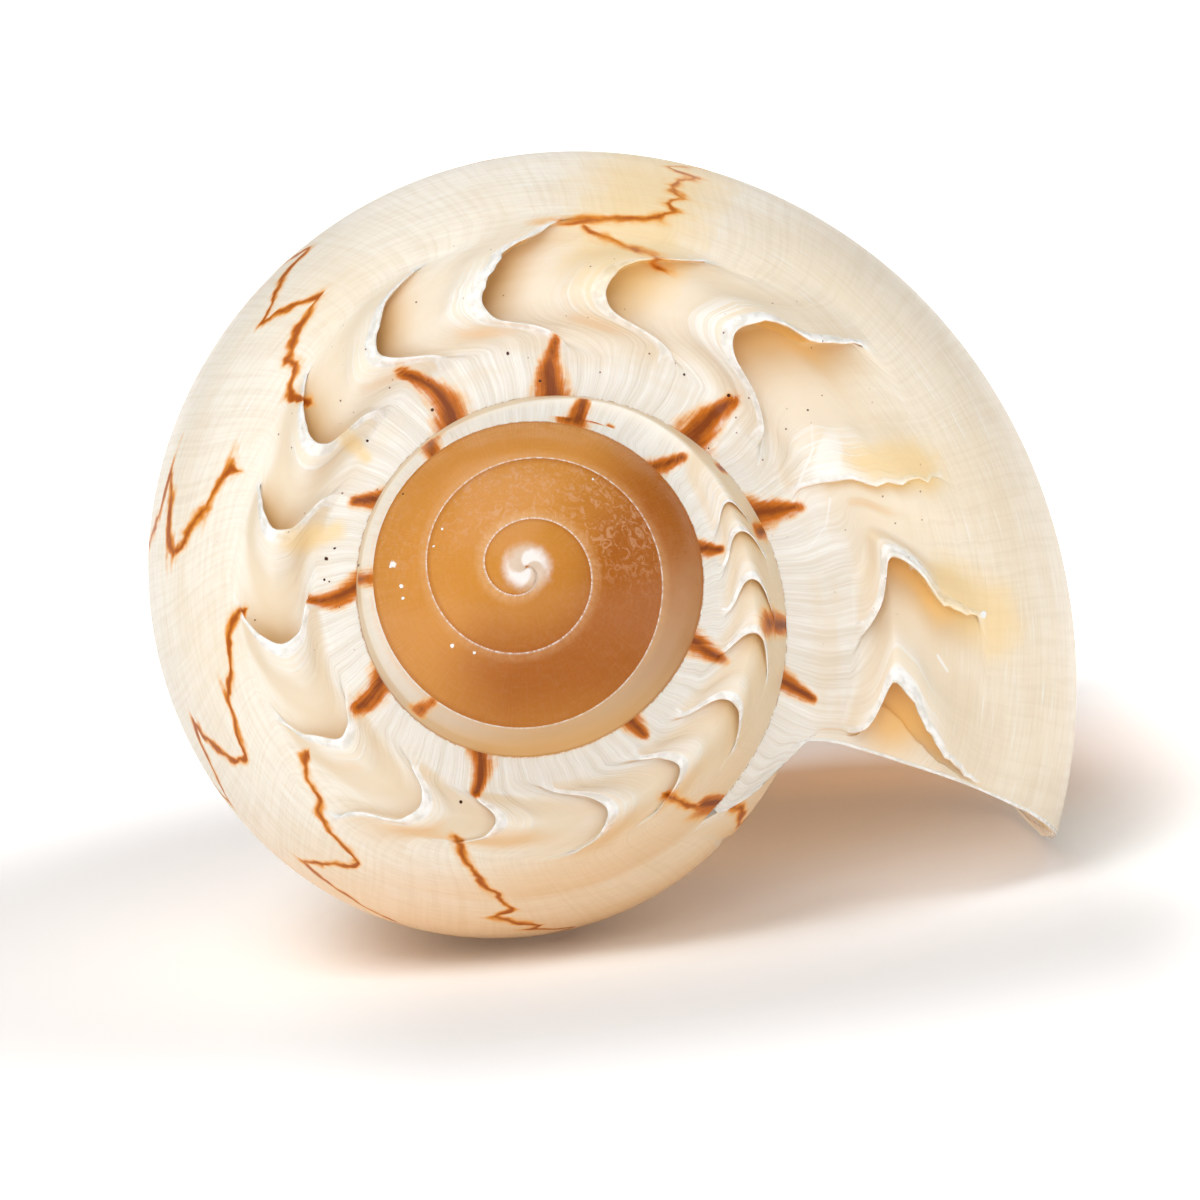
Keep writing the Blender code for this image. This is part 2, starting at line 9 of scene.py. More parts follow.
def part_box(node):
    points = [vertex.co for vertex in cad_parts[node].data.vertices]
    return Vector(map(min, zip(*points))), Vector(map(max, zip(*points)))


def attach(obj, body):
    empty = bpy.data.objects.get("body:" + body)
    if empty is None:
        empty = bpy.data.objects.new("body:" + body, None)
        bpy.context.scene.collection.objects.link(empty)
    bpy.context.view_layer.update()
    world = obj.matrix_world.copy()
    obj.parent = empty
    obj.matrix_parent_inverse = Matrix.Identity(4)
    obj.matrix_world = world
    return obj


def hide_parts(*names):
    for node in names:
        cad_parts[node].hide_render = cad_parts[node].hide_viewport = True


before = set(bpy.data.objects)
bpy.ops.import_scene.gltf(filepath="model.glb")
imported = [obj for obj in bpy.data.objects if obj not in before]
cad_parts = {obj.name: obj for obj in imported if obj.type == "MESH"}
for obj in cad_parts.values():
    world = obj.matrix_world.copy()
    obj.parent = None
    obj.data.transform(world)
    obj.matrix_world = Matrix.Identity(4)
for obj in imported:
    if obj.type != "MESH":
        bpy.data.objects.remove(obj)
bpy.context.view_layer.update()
print("frame loaded:", list(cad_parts))

# the coil, in mm and degrees
# growth runs clockwise round the axis as seen from above the apex, depth runs down from the apex
coil = {
    "start": -1441.0, "end": 50.0, "lip": 23.0, "turn": 360.0,
    "growthFactor": 1.99, "depthPower": 0.85, "widestDepth": 50.0,
    "anteriorRadius": 17.0, "anteriorDepth": 137.0, "lowerPower": 1.15, "anteriorSweep": 45.0,
    "rampDip": 0.7, "bulge": 0.45, "tipDepth": 140.0, "pillarRadius": 8.0, "pillarTip": 5.5,
    "shoulderFrom": -470.0, "shoulderFull": -392.0, "joinFrom": -310.0, "joinFull": -210.0,
    "shoulderBefore": ((-700.0, 15.5, 9.5), (-470.0, 20.6, 12.6)), "shoulderAfter": (50.0, 42.5, 26.6),
    "crossing": (0.12, 0.94),
    "ramp": 6, "side": 12, "last": 19, "foot": 23,  # rows where one part of a whorl ends
    "suture": (  # growth, distance from the axis, depth
        (-1441, 0.0, 0.0), (-1350, 2.6, 0.3), (-1259, 4.4, 0.8), (-1170, 5.2, 1.2),
        (-1082, 6.6, 1.8), (-990, 8.7, 2.7), (-898, 10.6, 3.9), (-810, 12.1, 5.0),
        (-723, 14.1, 6.4), (-630, 16.2, 8.2), (-540, 16.5, 9.3), (-450, 16.8, 10.6),
        (-364, 18.7, 12.2), (-302, 18.6, 12.8), (-238, 19.2, 13.3), (-175, 18.4, 13.8),
        (-118, 19.0, 14.8), (-91, 20.0, 15.5), (-63, 21.8, 16.6), (-35, 24.2, 18.2),
        (-5, 26.9, 20.0), (23, 29.3, 21.7), (50, 31.0, 23.0),
    ),
    "widest": (  # growth, distance from the axis
        (-1100, 19.0), (-720, 19.6), (-630, 20.4), (-540, 22.4), (-450, 25.8), (-380, 29.6),
        (-324, 33.0), (-280, 36.3), (-237, 39.0), (-195, 41.0), (-155, 44.0), (-100, 49.8),
        (-45, 55.4), (-5, 59.9), (23, 63.8), (60, 69.3),
    ),
    "lipEdge": (  # distance from the axis, growth
        (31.0, 50.0), (31.5, 48.0), (32.0, 45.0), (32.4, 42.7), (33.2, 41.0), (33.6, 39.2),
        (33.9, 36.8), (34.35, 30.9), (34.8, 29.6), (35.3, 28.9), (36.3, 27.9), (37.7, 26.9),
        (39.6, 26.1), (42.5, 25.4), (45.3, 24.9), (51.0, 24.0), (55.0, 23.5), (61.7, 23.1), (70.0, 23.0),
    ),
}

# hollow flutes on the shoulder, oldest first. "back" is the growth, distance from the axis and depth
# of the hollow's back; the limbs of its rim run outward and inward from there: (distance, degrees ahead)
flutes = [
    {"at": -382.0, "back": (-382.2, 22.8, 13.6), "height": 0.8,
     "out": ((0.7, 1.2), (1.1, 4.0), (1.5, 8.0)), "inn": ((0.8, 1.0), (1.4, 3.4), (2.2, 7.5))},
    {"at": -373.5, "back": (-373.7, 23.1, 13.8), "height": 0.9,
     "out": ((0.9, 1.0), (1.5, 3.6), (2.1, 8.0)), "inn": ((0.9, 1.1), (1.5, 4.2), (2.2, 9.4))},
    {"at": -361.0, "back": (-361.1, 23.7, 14.0), "height": 1.1,
     "out": ((0.9, 1.1), (1.5, 4.4), (2.2, 9.6)), "inn": ((0.9, 1.1), (1.6, 4.4), (2.4, 9.6))},
    {"at": -347.5, "back": (-347.7, 24.7, 14.3), "height": 1.3,
     "out": ((0.9, 1.0), (1.6, 4.2), (2.4, 9.6)), "inn": ((1.1, 1.1), (1.9, 4.0), (2.8, 8.6))},
    {"at": -330.0, "back": (-330.0, 24.9, 14.6), "height": 1.5,
     "out": ((1.2, 1.0), (2.2, 3.8), (3.1, 9.4)), "inn": ((1.1, 1.0), (2.0, 4.4), (3.0, 11.2))},
    {"at": -310.0, "back": (-310.0, 25.2, 15.0), "height": 1.8,
     "out": ((1.4, 3.3), (2.6, 11.8)), "inn": ((2.0, 3.0), (2.9, 8.2))},
    {"at": -290.0, "back": (-289.9, 25.5, 15.2), "height": 2.1,
     "out": ((2.3, 3.3), (3.6, 11.7)), "inn": ((1.7, 3.2), (2.4, 7.4), (3.0, 14.0))},
    {"at": -263.0, "back": (-263.3, 25.4, 15.5), "height": 2.2,
     "out": ((1.9, 2.1), (3.0, 8.4)), "inn": ((1.1, 2.2), (1.9, 7.0))},
    {"at": -245.0, "back": (-245.3, 26.1, 15.7), "height": 2.4,
     "out": ((2.5, 3.0), (4.0, 11.2), (5.9, 15.3)), "inn": ((1.8, 2.2), (2.7, 6.5))},
    {"at": -221.0, "back": (-221.0, 25.6, 16.0), "height": 2.6,
     "out": ((1.9, 3.9), (3.2, 6.9), (4.3, 13.0)), "inn": ((1.7, 2.4), (2.4, 7.0))},
    {"at": -195.0, "back": (-195.3, 26.5, 16.2), "height": 2.8,
     "out": ((2.0, 2.8), (4.3, 9.6)), "inn": ((2.1, 2.4), (2.9, 9.6))},
    {"at": -169.0, "back": (-169.2, 27.1, 16.5), "height": 3.0,
     "out": ((1.6, 2.8), (3.9, 9.4)), "inn": ((1.7, 1.2), (2.6, 6.0), (3.2, 11.0))},
    {"at": -147.5, "back": (-147.5, 26.6, 17.0), "height": 3.2,
     "out": ((2.9, 3.5), (4.4, 7.2), (5.8, 10.9)), "inn": ((1.4, 2.1), (2.0, 7.8), (2.7, 15.4))},
    {"at": -124.0, "back": (-124.0, 28.7, 17.6), "height": 3.6,
     "out": ((2.8, 3.6), (5.1, 7.3), (7.1, 14.8)), "inn": ((1.2, 2.0), (2.1, 5.8), (3.0, 12.0))},
    {"at": -100.0, "back": (-100.2, 30.0, 18.3), "height": 4.0, "jag": 0.45,
     "out": ((2.4, 2.3), (5.7, 6.1), (7.4, 10.8), (9.5, 15.5)),
     "inn": ((1.7, 1.4), (2.6, 4.2), (3.2, 10.7), (4.2, 16.2))},
    {"at": -76.0, "back": (-76.0, 31.8, 19.3), "height": 4.3,
     "out": ((2.8, 1.5), (4.7, 4.4), (6.1, 10.2), (7.4, 14.1)),
     "inn": ((1.6, 1.4), (2.6, 5.0), (3.2, 10.6), (4.0, 16.2))},
    {"at": -51.5, "back": (-51.4, 34.2, 20.6), "height": 4.6,
     "out": ((3.1, 2.6), (4.5, 5.6), (5.2, 10.0), (8.2, 12.6), (10.3, 14.7)),
     "inn": ((1.4, 1.3), (2.6, 5.0), (3.1, 9.8), (4.8, 17.3))},
    {"at": -22.0, "back": (-19.5, 35.2, 22.2), "height": 2.6, "keep": 0.72, "jag": 0.55, "rim": 0.2,
     "out": ((3.5, 2.8), (10.7, 3.4)), "inn": ((1.5, -0.6), (3.9, -1.5))},
    {"at": -1.0, "back": (-5.4, 38.4, 23.4), "height": 3.8, "rim": 1.35,
     "out": ((2.1, 1.7), (3.8, 4.9), (5.1, 7.1), (10.0, 8.4)),
     "inn": ((0.8, 1.5), (1.3, 6.0), (2.8, 11.4))},
    {"at": 12.5, "back": (13.9, 39.7, 24.4), "height": 4.2, "rim": 1.15, "limbs": 4.0, "span": 1.0,
     "dim": 0.0, "out": ((2.1, 1.8), (4.7, 5.1), (7.3, 7.3), (12.1, 9.0)),
     "inn": ((0.5, 1.5), (0.8, 4.6), (1.3, 7.8), (2.4, 9.5))},
]

# how the hoods are shaped: their lean outward, and the thin rim that rolls over into the hollow
hood = {
    "lean": 0.22, "rim": 0.42, "rimShare": 0.28, "outSpan": 1.08, "innSpan": 1.5, "ridge": 0.06,
    "rounding": (-0.36, -0.12, 0.12, 0.36),  # the rim line is eased over about a millimetre
    "jags": ((0.7, 1.9, 1), (0.5, 4.3, 2), (0.25, 8.9, 3)),  # depth, waves per mm and how they differ
    "gather": 0.14, "gatherInner": 0.5, "fade": 0.45, "sag": 0.06, "sagUntil": 0.6,
    "rise": ((0.9, 0.30, 0.93), (0.1, 0.9, 1.0)), "rollsIn": (0.42, 0.62),
    "amberLate": (-250.0, -150.0), "amberEarly": (-335.0, -285.0),
    "share": (0.0, 0.1, 0.2, 0.3, 0.4, 0.5, 0.6, 0.7, 0.8, 0.9, 1.0),
    "aheadByRim": (0.0, 0.5, 0.9, 1.0, 0.85, 0.45, 0.0, 0.0, 0.0, 0.0, 0.0),
    "dropByRim": (0.0, 0.05, 0.35, 0.8, 1.2, 1.55, 1.7, 1.3, 0.9, 0.4, 0.0),
    "aheadByHeight": (0.0, 0.0, 0.0, 0.0, -0.02, -0.08, -0.19, -0.30, -0.35, -0.32, -0.2),
    "dropByHeight": (0.0, 0.0, 0.0, 0.0, 0.0, 0.01, 0.06, 0.28, 0.55, 0.82, 1.0),
}

# how fine the mesh is
fine = {
    "stations": (-310.0, -290.0, -263.0, -245.0, -221.0, -195.0, -169.0, -147.5, -124.0,
                 -100.0, -76.0, -51.5, -22.0, -13.5, -1.0, 12.5, 30.0),
    "columns": 36, "foldColumns": 12, "spireStride": 3, "spireRows": 12,
    "rampRows": 34, "flankRows": 27, "upperRows": 20, "lowerRows": 15, "footRows": 9,
    "cavityStart": -310.0, "cavityStep": 4.5, "wallPoints": 34, "floorPoints": 3,
    "pillarPoints": 24, "facePoints": 18, "search": 160,
}

# the hollow of the shell: wall and callus thickness, pillar folds
hollow = {
    "wall": 2.2, "lipWall": 0.42, "lipTaper": 46.0, "callus": 0.5, "lipCallus": 0.2,
    "notchWall": 5.0, "lipNotchWall": 1.8, "leadSpan": 70.0, "cornerGap": 0.5,
    "folds": (0.12, 0.30, 0.48, 0.66), "foldHeight": 1.4, "foldWidth": 0.052,
    "bareFrom": (8.0, 20.0), "rowFrom": 40.0, "rowStep": 0.2,
}

# how it lies: turned about its axis, then tipped onto its lip and belly
lying = {"turned": -7.2, "tipped": 77.1}


def ease(low, high, x):
    x = np.clip((np.asarray(x, float) - low) / (high - low), 0.0, 1.0)
    return x * x * (3.0 - 2.0 * x)


def cubic(x, xs, ys, slopes):
    x = np.clip(np.asarray(x, float), xs[0], xs[-1])
    i = np.clip(np.searchsorted(xs, x) - 1, 0, len(xs) - 2)
    span = xs[i + 1] - xs[i]
    t = (x - xs[i]) / span
    return ((1 + 2 * t) * (1 - t) ** 2 * ys[i] + t * (1 - t) ** 2 * span * slopes[i]
            + t * t * (3 - 2 * t) * ys[i + 1] + t * t * (t - 1) * span * slopes[i + 1])


def curveThrough(x, xs, ys):
    return cubic(x, xs, ys, np.gradient(ys, xs))


def risingCurve(x, xs, ys):  # never turns back between its points
    steps = np.diff(ys) / np.diff(xs)
    slopes = np.zeros(len(xs))
    both = steps[1:] * steps[:-1]
    slopes[1:-1] = np.where(both > 0, 2 * both / (steps[1:] + steps[:-1] + 1e-9), 0.0)
    slopes[-1] = steps[-1]
    return cubic(x, xs, ys, slopes)


def suture(growth):
    table = np.array(coil["suture"], float).T
    past = np.maximum(np.asarray(growth, float) - coil["end"], 0.0) / coil["turn"]
    grow = coil["growthFactor"] ** past
    return curveThrough(growth, table[0], table[1]) * grow, curveThrough(growth, table[0], table[2]) * grow


def shoulder(growth):
    backs = [f["back"] for f in flutes]
    table = np.array([*coil["shoulderBefore"], *backs, coil["shoulderAfter"]], float).T
    return curveThrough(growth, table[0], table[1]), curveThrough(growth, table[0], table[2])


def grown(growth, power=1.0):
    return coil["growthFactor"] ** (power * (np.asarray(growth, float) - coil["lip"]) / coil["turn"])


def widest(growth):
    table = np.array(coil["widest"], float).T
    return curveThrough(growth, table[0], table[1]), coil["widestDepth"] * grown(growth, coil["depthPower"])


def anterior(growth):
    return coil["anteriorRadius"] * grown(growth), coil["anteriorDepth"] * grown(growth, coil["depthPower"])


def pillarRadius(depth):
    share = np.clip((depth / coil["tipDepth"] - 0.5) / 0.5, 0.0, 1.0)
    return coil["pillarRadius"] + (coil["pillarTip"] - coil["pillarRadius"]) * share**2


def flank(growth, angle):
    rF, dF = shoulder(growth)
    rP, dP = widest(growth)
    rA, dA = anterior(growth)
    s, c = np.sin(angle), np.cos(angle)
    upper = angle <= math.pi / 2
    radius = np.where(upper, rF + (rP - rF) * s, rA + (rP - rA) * np.maximum(s, 0) ** coil["lowerPower"])
    depth = np.where(upper, dP - (dP - dF) * c, dP - (dA - dP) * c)
    return radius, depth


def crossing(growth):  # flank angle where the next turn's suture crosses this turn
    rF, _ = shoulder(growth)
    rP, _ = widest(growth)
    rM, _ = suture(np.asarray(growth, float) + coil["turn"])
    return np.arcsin(np.clip((rM - rF) / (rP - rF), *coil["crossing"]))


def outline(growth, row):
    growth, row = np.broadcast_arrays(np.asarray(growth, float), np.asarray(row, float))
    ramp, side, last = coil["ramp"], coil["side"], coil["last"]
    rS, dS = suture(np.maximum(growth, coil["start"]))
    rF, dF = shoulder(growth)
    rM, dM = suture(growth + coil["turn"])
    cross = crossing(growth)
    x = np.clip(row / ramp, 0.0, 1.0)
    rampR = rS + (rF - rS) * x
    rampD = dS + (dF - dS) * x + coil["rampDip"] * 4 * x * (1 - x)
    across = np.clip((row - ramp) / (side - ramp), 0.0, 1.0)
    down = np.clip((row - side) / (last - side), 0.0, 1.0)
    flankR, flankD = flank(growth, cross * across + (math.pi - cross) * down)
    edgeR, edgeD = flank(growth, cross)
    joins = (1 - ease(coil["joinFrom"], coil["joinFull"], growth)) * across**1.5 * (1 - ease(0.0, 0.45, down))
    flankR = flankR + (rM - edgeR) * joins
    flankD = flankD + (dM - edgeD) * joins
    radius = np.where(row < ramp, rampR, flankR)
    depth = np.where(row < ramp, rampD, flankD)
    y = np.clip(row / side, 0.0, 1.0)  # early turns are plain bulging strips
    swell = coil["bulge"] * 4 * y * (1 - y)
    plain = (1 - ease(coil["shoulderFrom"], coil["shoulderFull"], growth)) * (row <= side)
    radius = radius + (rS + (rM - rS) * y + swell * 0.6 - radius) * plain
    depth = depth + (dS + (dM - dS) * y - swell - depth) * plain
    rA, dA = anterior(growth)  # past the anterior end the surface follows the pillar to the tip
    z = np.clip((row - last) / (coil["foot"] - last), 0.0, 1.0)
    footD = dA + (coil["tipDepth"] - dA) * z
    footR = pillarRadius(footD) * np.sqrt(np.clip(1 - z**6, 0.0, 1.0))
    footR = footR + (np.minimum(footR + 2.0, rA) - footR) * (1 - ease(0.05, 0.3, z))
    past = row > last
    return np.where(past, footR, radius), np.where(past, footD, depth)


def lipLead(rows, radius):
    table = np.array(coil["lipEdge"]).T
    angle = np.where(rows > coil["side"], coil["lip"], np.interp(radius, table[0], table[1]))
    return angle - coil["end"]


def sweepBack(rows):
    return -coil["anteriorSweep"] * ease(coil["side"] + 2, coil["last"], rows) ** 1.3


def innerEnd(flute):  # how far ahead the growth line of this flute meets the suture
    return flute["back"][0] - flute["at"] + flute["inn"][-1][1] + 2.0


def rimSweep(flute, v):
    out = np.array(((0.0, 0.0), *flute["out"])).T
    inn = np.array(((0.0, 0.0), *flute["inn"])).T
    ahead = np.zeros_like(v)
    for near in hood["rounding"]:
        ahead = ahead + 0.25 * np.where(v + near > 0, risingCurve(np.maximum(v + near, 0), out[0], out[1]),
                                        risingCurve(np.maximum(-v - near, 0), inn[0], inn[1]))
    at = flute["at"]
    rough = sum(depth * np.sin(v * often + k * at) for depth, often, k in hood["jags"])
    end = out[0][-1]
    ahead = ahead + flute.get("jag", 0.22) * rough * ease(0.5, 2.0, v) * (1 - ease(end, end * 1.3, v))
    ahead = ahead - out[1][-1] * 0.72 * ease(end, end * 3.2, v)
    ahead = ahead + 2.0 * ease(inn[0][-1], inn[0][-1] + 5.0, -v)
    return flute["back"][0] - flute["at"] + ahead


def arch(flute, v):
    if flute is None:
        return np.zeros_like(v)
    out, inn = flute["out"][-1][0] * hood["outSpan"], flute["inn"][-1][0] * hood["innSpan"]
    share = np.where(v > 0, v / out, -v / inn)
    height = np.clip(1 - np.abs(share) ** 2.0, 0.0, 1.0) ** 1.35
    ridge = hood["ridge"] * (v < 0) * (1 - ease(inn * 1.2, inn * 2.6, -v))  # runs on toward the suture
    return np.maximum(height, ridge)


def lineShift(station, v, rows, radius):
    if station == coil["end"]:
        return lipLead(rows, radius)
    if station < flutes[0]["at"]:
        return np.zeros_like(v)
    for flute in flutes:
        if flute["at"] == station:
            return rimSweep(flute, v)
    before = max(f["at"] for f in flutes if f["at"] < station)
    after = min([f["at"] for f in flutes if f["at"] > station] + [coil["end"]])
    share = (station - before) / (after - before)
    early, late = (lineShift(s, v, rows, radius) for s in (before, after))
    return early * (1 - share) + late * share


def sutureShift(growth):  # degrees ahead at which growth lines stand on the suture
    known = [(f["at"], innerEnd(f)) for f in flutes] + [(coil["end"], 0.0)]
    table = np.array([(flutes[0]["at"] - 40.0, 0.0), *known]).T
    return np.interp(growth, table[0], table[1])


def rowList():
    def part(low, high, count, power):
        return low + (high - low) * np.linspace(0, 1, count + 1)[1:] ** power
    ramp, side, last, foot = (coil[k] for k in ("ramp", "side", "last", "foot"))
    upper = side + 2.6
    toShoulder = ramp * (1 - np.linspace(1, 0, fine["rampRows"] + 1) ** 1.3)
    return np.concatenate([toShoulder, part(ramp, side, fine["flankRows"], 1.2),
                           part(side, upper, fine["upperRows"], 1.0),
                           part(upper, last, fine["lowerRows"], 1.0),
                           part(last, foot, fine["footRows"], 1.0)])


def stationList():
    turns = int(round((coil["end"] - coil["start"]) / coil["turn"])) + 2
    angles = [a - coil["turn"] * t for t in range(turns) for a in fine["stations"]]
    angles = sorted(a for a in angles if a >= coil["start"] - coil["turn"] - 0.01) + [coil["end"]]
    known = {f["at"]: f for f in flutes}
    return [(a, known.get(a)) for a in angles]


def growthLines(rows, a, flute, b, following, fraction):
    side = coil["side"]
    base = a + (b - a) * fraction
    radius, _ = outline(base, rows)
    rF, _ = shoulder(base)
    v = radius - rF
    sideIndex = int(np.searchsorted(rows[0], side))
    v = np.where(rows > side, v[:, sideIndex:sideIndex + 1] + 2.0 * (rows - side), v)
    foldEnd = fine["foldColumns"] / fine["columns"]
    inFold = np.clip(fraction / foldEnd, 0.0, 1.0)
    settle = np.clip((fraction - foldEnd) / (1 - foldEnd), 0.0, 1.0)
    fade = 1 - ease(0.0, hood["fade"], settle)
    archA, archB = arch(flute, v), arch(following, v)
    hA = archA * (flute["height"] if flute else 0.0)
    hB = archB * (following["height"] if following else 0.0)
    inner = ease(0.0, 2.5, -v)
    gather = ease(0.0, hood["gather"] + hood["gatherInner"] * inner, archA)
    rim = np.minimum(hood["rim"], hood["rimShare"] * hA)
    lift = {k: np.interp(inFold, hood["share"], hood[k]) for k in
            ("aheadByRim", "dropByRim", "aheadByHeight", "dropByHeight")}
    shift = (rim * lift["aheadByRim"] + hA * lift["aheadByHeight"] * (1 - 0.8 * inner)) * fade
    held = gather * np.minimum(fraction, foldEnd) * fade  # the folded columns stay at the rim
    across = math.radians(1.0) * np.maximum(radius, 1.0)
    ahead = shift / across - held * (b - a)
    keep = flute.get("keep", 0.0) if flute else 0.0  # how much of the height the ground beyond the rim keeps
    up = hA * (1 - lift["dropByHeight"] * (1 - keep)) - rim * lift["dropByRim"]
    up = up - hA * keep * ease(0.0, 1.0, settle)
    up = up - hood["sag"] * hA * np.sin(math.pi * np.clip(settle / hood["sagUntil"], 0, 1)) * (settle > 0)
    rise = sum(share * ease(low, high, fraction) for share, low, high in hood["rise"])
    up = up + hB * rise

    along = fraction - held
    skew = lineShift(a, v, rows, radius) * (1 - along) + lineShift(b, v, rows, radius) * along
    toSuture = 1 - ease(0.0, 1.6, rows)
    skew = skew + (sutureShift(base) - skew) * toSuture
    free = 1 - toSuture
    buried = base <= coil["end"] - coil["turn"]
    toNext = ease(side - 3.0, side, rows) * buried * (rows <= side)
    skew = skew + (sutureShift(base + coil["turn"]) - skew) * toNext
    free = free * (1 - toNext)
    turned = base + ahead * free + skew + sweepBack(rows)
    radius, depth = outline(turned, rows)
    up = up * free
    radius = radius + up * hood["lean"]
    depth = depth - up
    theta = np.radians(turned)
    points = np.stack([radius * np.cos(theta), -radius * np.sin(theta), -depth], axis=-1)

    # how amber the hollow is, part its own amber and part painted shade under the overhanging hood, and how
    # pearly the rim is
    fades, dim = (flute.get("span", 0.38), flute.get("dim", 0.6)) if flute else (1.0, 0.6)
    rolled = ease(*hood["rollsIn"], inFold)
    amber = gather * free * rolled * (1 - ease(0.0, fades, settle)) * archA**0.5 * (1 - dim * inner)
    amber = amber * (0.4 + 0.6 * ease(*hood["amberLate"], base) + 0.5 * (1 - ease(*hood["amberEarly"], base)))
    pearl = gather * free * (1 - rolled)
    fold = archB * rise * free
    return {"points": points, "turned": turned, "base": np.broadcast_to(base, turned.shape),
            "amber": amber, "pearl": pearl, "fold": fold, "hood": archB * free}


rimLooks = {"thin": 0.4, "wide": 1.15, "lip": 0.45, "fullHeight": 3.2, "rowsNear": 14, "least": 0.55,
            "hoodFrom": (0.04, 0.16), "fades": (0.5, 1.0)}


def pearlBand(piece, edge, flute):  # the rim ahead is pearly for about a millimetre, less along its limbs
    points, ahead = piece["points"], np.broadcast_to(edge, piece["points"].shape[1:])
    gap, reach = np.empty(points.shape[:2]), rimLooks["rowsNear"]
    for r in range(points.shape[1]):
        near = ahead[max(r - reach, 0):r + reach + 1]
        gap[:, r] = np.linalg.norm(points[:, r, None] - near[None], axis=2).min(axis=1)
    flute = flute or {"height": 0.0}
    bold = flute.get("rim", min(1.0, flute["height"] / rimLooks["fullHeight"]))
    width = rimLooks["thin"] * (rimLooks["least"] + (1 - rimLooks["least"]) * min(bold, 1.0))
    width = width + rimLooks["wide"] * bold * piece["hood"] ** flute.get("limbs", 1.5)
    return ease(*rimLooks["hoodFrom"], piece["hood"]) * (1 - ease(*rimLooks["fades"], gap / width)), gap


def allLines(rows):
    known = stationList()
    fraction = np.arange(fine["columns"])[:, None] / fine["columns"]
    pieces = [growthLines(rows[None, :], a, f, b, g, fraction) for (a, f), (b, g) in zip(known, known[1:])]
    lastA = known[-2][0]
    pieces.append(growthLines(rows[None, :], lastA, None, coil["end"], None, np.ones((1, 1))))
    for piece, after, (_, flute) in zip(pieces, pieces[1:], known[1:]):
        if piece["base"][0, 0] < coil["shoulderFull"]:
            continue
        band, gap = pearlBand(piece, after["points"][0], flute)
        if after is pieces[-1]:
            band = 1 - ease(*rimLooks["fades"], gap / rimLooks["lip"])
        piece["pearl"] = np.maximum(piece["pearl"], band)
    lines = {k: np.concatenate([p[k] for p in pieces]) for k in pieces[0]}
    # distance along the surface from the suture, in mm
    radius, depth = outline(lines["base"], rows[None, :])
    steps = np.hypot(np.diff(radius, axis=1), np.diff(depth, axis=1))
    lines["reach"] = np.concatenate([np.zeros((len(radius), 1)), np.cumsum(steps, axis=1)], axis=1)
    lines["pearl"][-1] = 1.0
    lines["spot"], lines["golden"] = stains(lines["turned"], lines["reach"], radius)
    return lines


# brown spots that flow outward from the suture along the ribs, as growth and reach from it in mm:
# (start, end, half widths in mm there, bend in degrees)
spots = [
    (-306.0, 0.0, -307.0, 2.4, 0.8, 0.4, 0.0), (-254.5, 0.0, -256.0, 4.6, 0.9, 0.35, -2.0),
    (-214.0, 0.0, -216.5, 4.0, 1.2, 0.6, -2.0), (-181.5, 0.0, -184.5, 5.4, 1.0, 0.35, -4.0),
    (-151.0, 0.0, -155.0, 2.6, 0.9, 0.5, 0.0), (-116.0, 0.0, -121.0, 7.4, 1.4, 0.5, 7.0),
    (-83.0, 0.0, -84.0, 6.2, 1.3, 0.4, -2.0), (-41.5, 0.0, -42.5, 7.0, 1.5, 0.5, -2.0),
    (-18.0, 0.0, -17.0, 5.1, 1.3, 0.4, 0.0), (20.0, 0.0, 21.0, 4.3, 0.8, 0.3, 0.0),
    (-402.0, 0.0, -399.0, 3.7, 0.8, 0.4, 0.0), (-370.5, 0.0, -369.5, 2.6, 0.7, 0.3, 0.0),
    (-339.5, 0.0, -338.0, 4.2, 0.9, 0.4, 0.0), (-593.0, 0.3, -590.0, 3.4, 0.5, 0.8, 0.0),
    (-540.5, 0.3, -539.5, 4.2, 0.8, 0.5, 0.0), (-487.5, 0.0, -486.0, 2.7, 0.7, 0.9, 0.0),
    (-436.0, 1.0, -422.0, 1.6, 1.0, 0.3, 0.0), (-433.0, 0.8, -433.0, 3.9, 0.9, 0.4, 0.0),
    (-350.5, 8.4, -352.0, 14.0, 1.0, 0.6, 0.0), (-373.0, 8.6, -373.5, 11.4, 0.7, 0.6, 0.0),
    (-391.5, 8.3, -391.0, 9.2, 0.5, 0.4, 0.0), (-309.0, 14.4, -312.0, 17.5, 0.8, 1.0, 0.0),
]
# golden patches in the same way, and the growth at which each ends sharply
goldenPatches = [(-74.0, 17.0, -73.0, 35.0, 7.0, 9.0, -61.5), (-20.0, 14.0, -18.0, 19.0, 2.5, 3.5, 90.0),
                 (0.0, 19.0, 3.0, 24.0, 4.0, 5.0, 90.0), (-165.0, 3.5, -170.0, 7.0, 1.4, 1.8, 90.0),
                 (-142.0, 4.0, -141.0, 7.0, 0.8, 1.2, 90.0)]


def stains(growth, reach, radius):
    perDegree = radius * math.pi / 180
    spot, golden = np.full_like(growth, -1.0), np.full_like(growth, -1.0)
    for gA, sA, gB, sB, wA, wB, bend in spots:
        t = np.clip((reach - sA) / (sB - sA), 0.0, 1.0)
        middle = gA + (gB - gA) * t + bend * 4 * t * (1 - t) * 0.5
        away = np.hypot((growth - middle) * perDegree, reach - (sA + (sB - sA) * t))
        spot = np.maximum(spot, 1 - away / ((wA + (wB - wA) * t) * 1.6))
    for gA, sA, gB, sB, wA, wB, until in goldenPatches:
        t = np.clip((reach - sA) / (sB - sA), 0.0, 1.0)
        away = np.hypot((growth - gA - (gB - gA) * t) * perDegree, reach - (sA + (sB - sA) * t))
        here = 1 - away / ((wA + (wB - wA) * t) * 1.3)
        golden = np.maximum(golden, here - 3.0 * ease(until - 0.8, until + 0.8, growth))
    return spot, golden


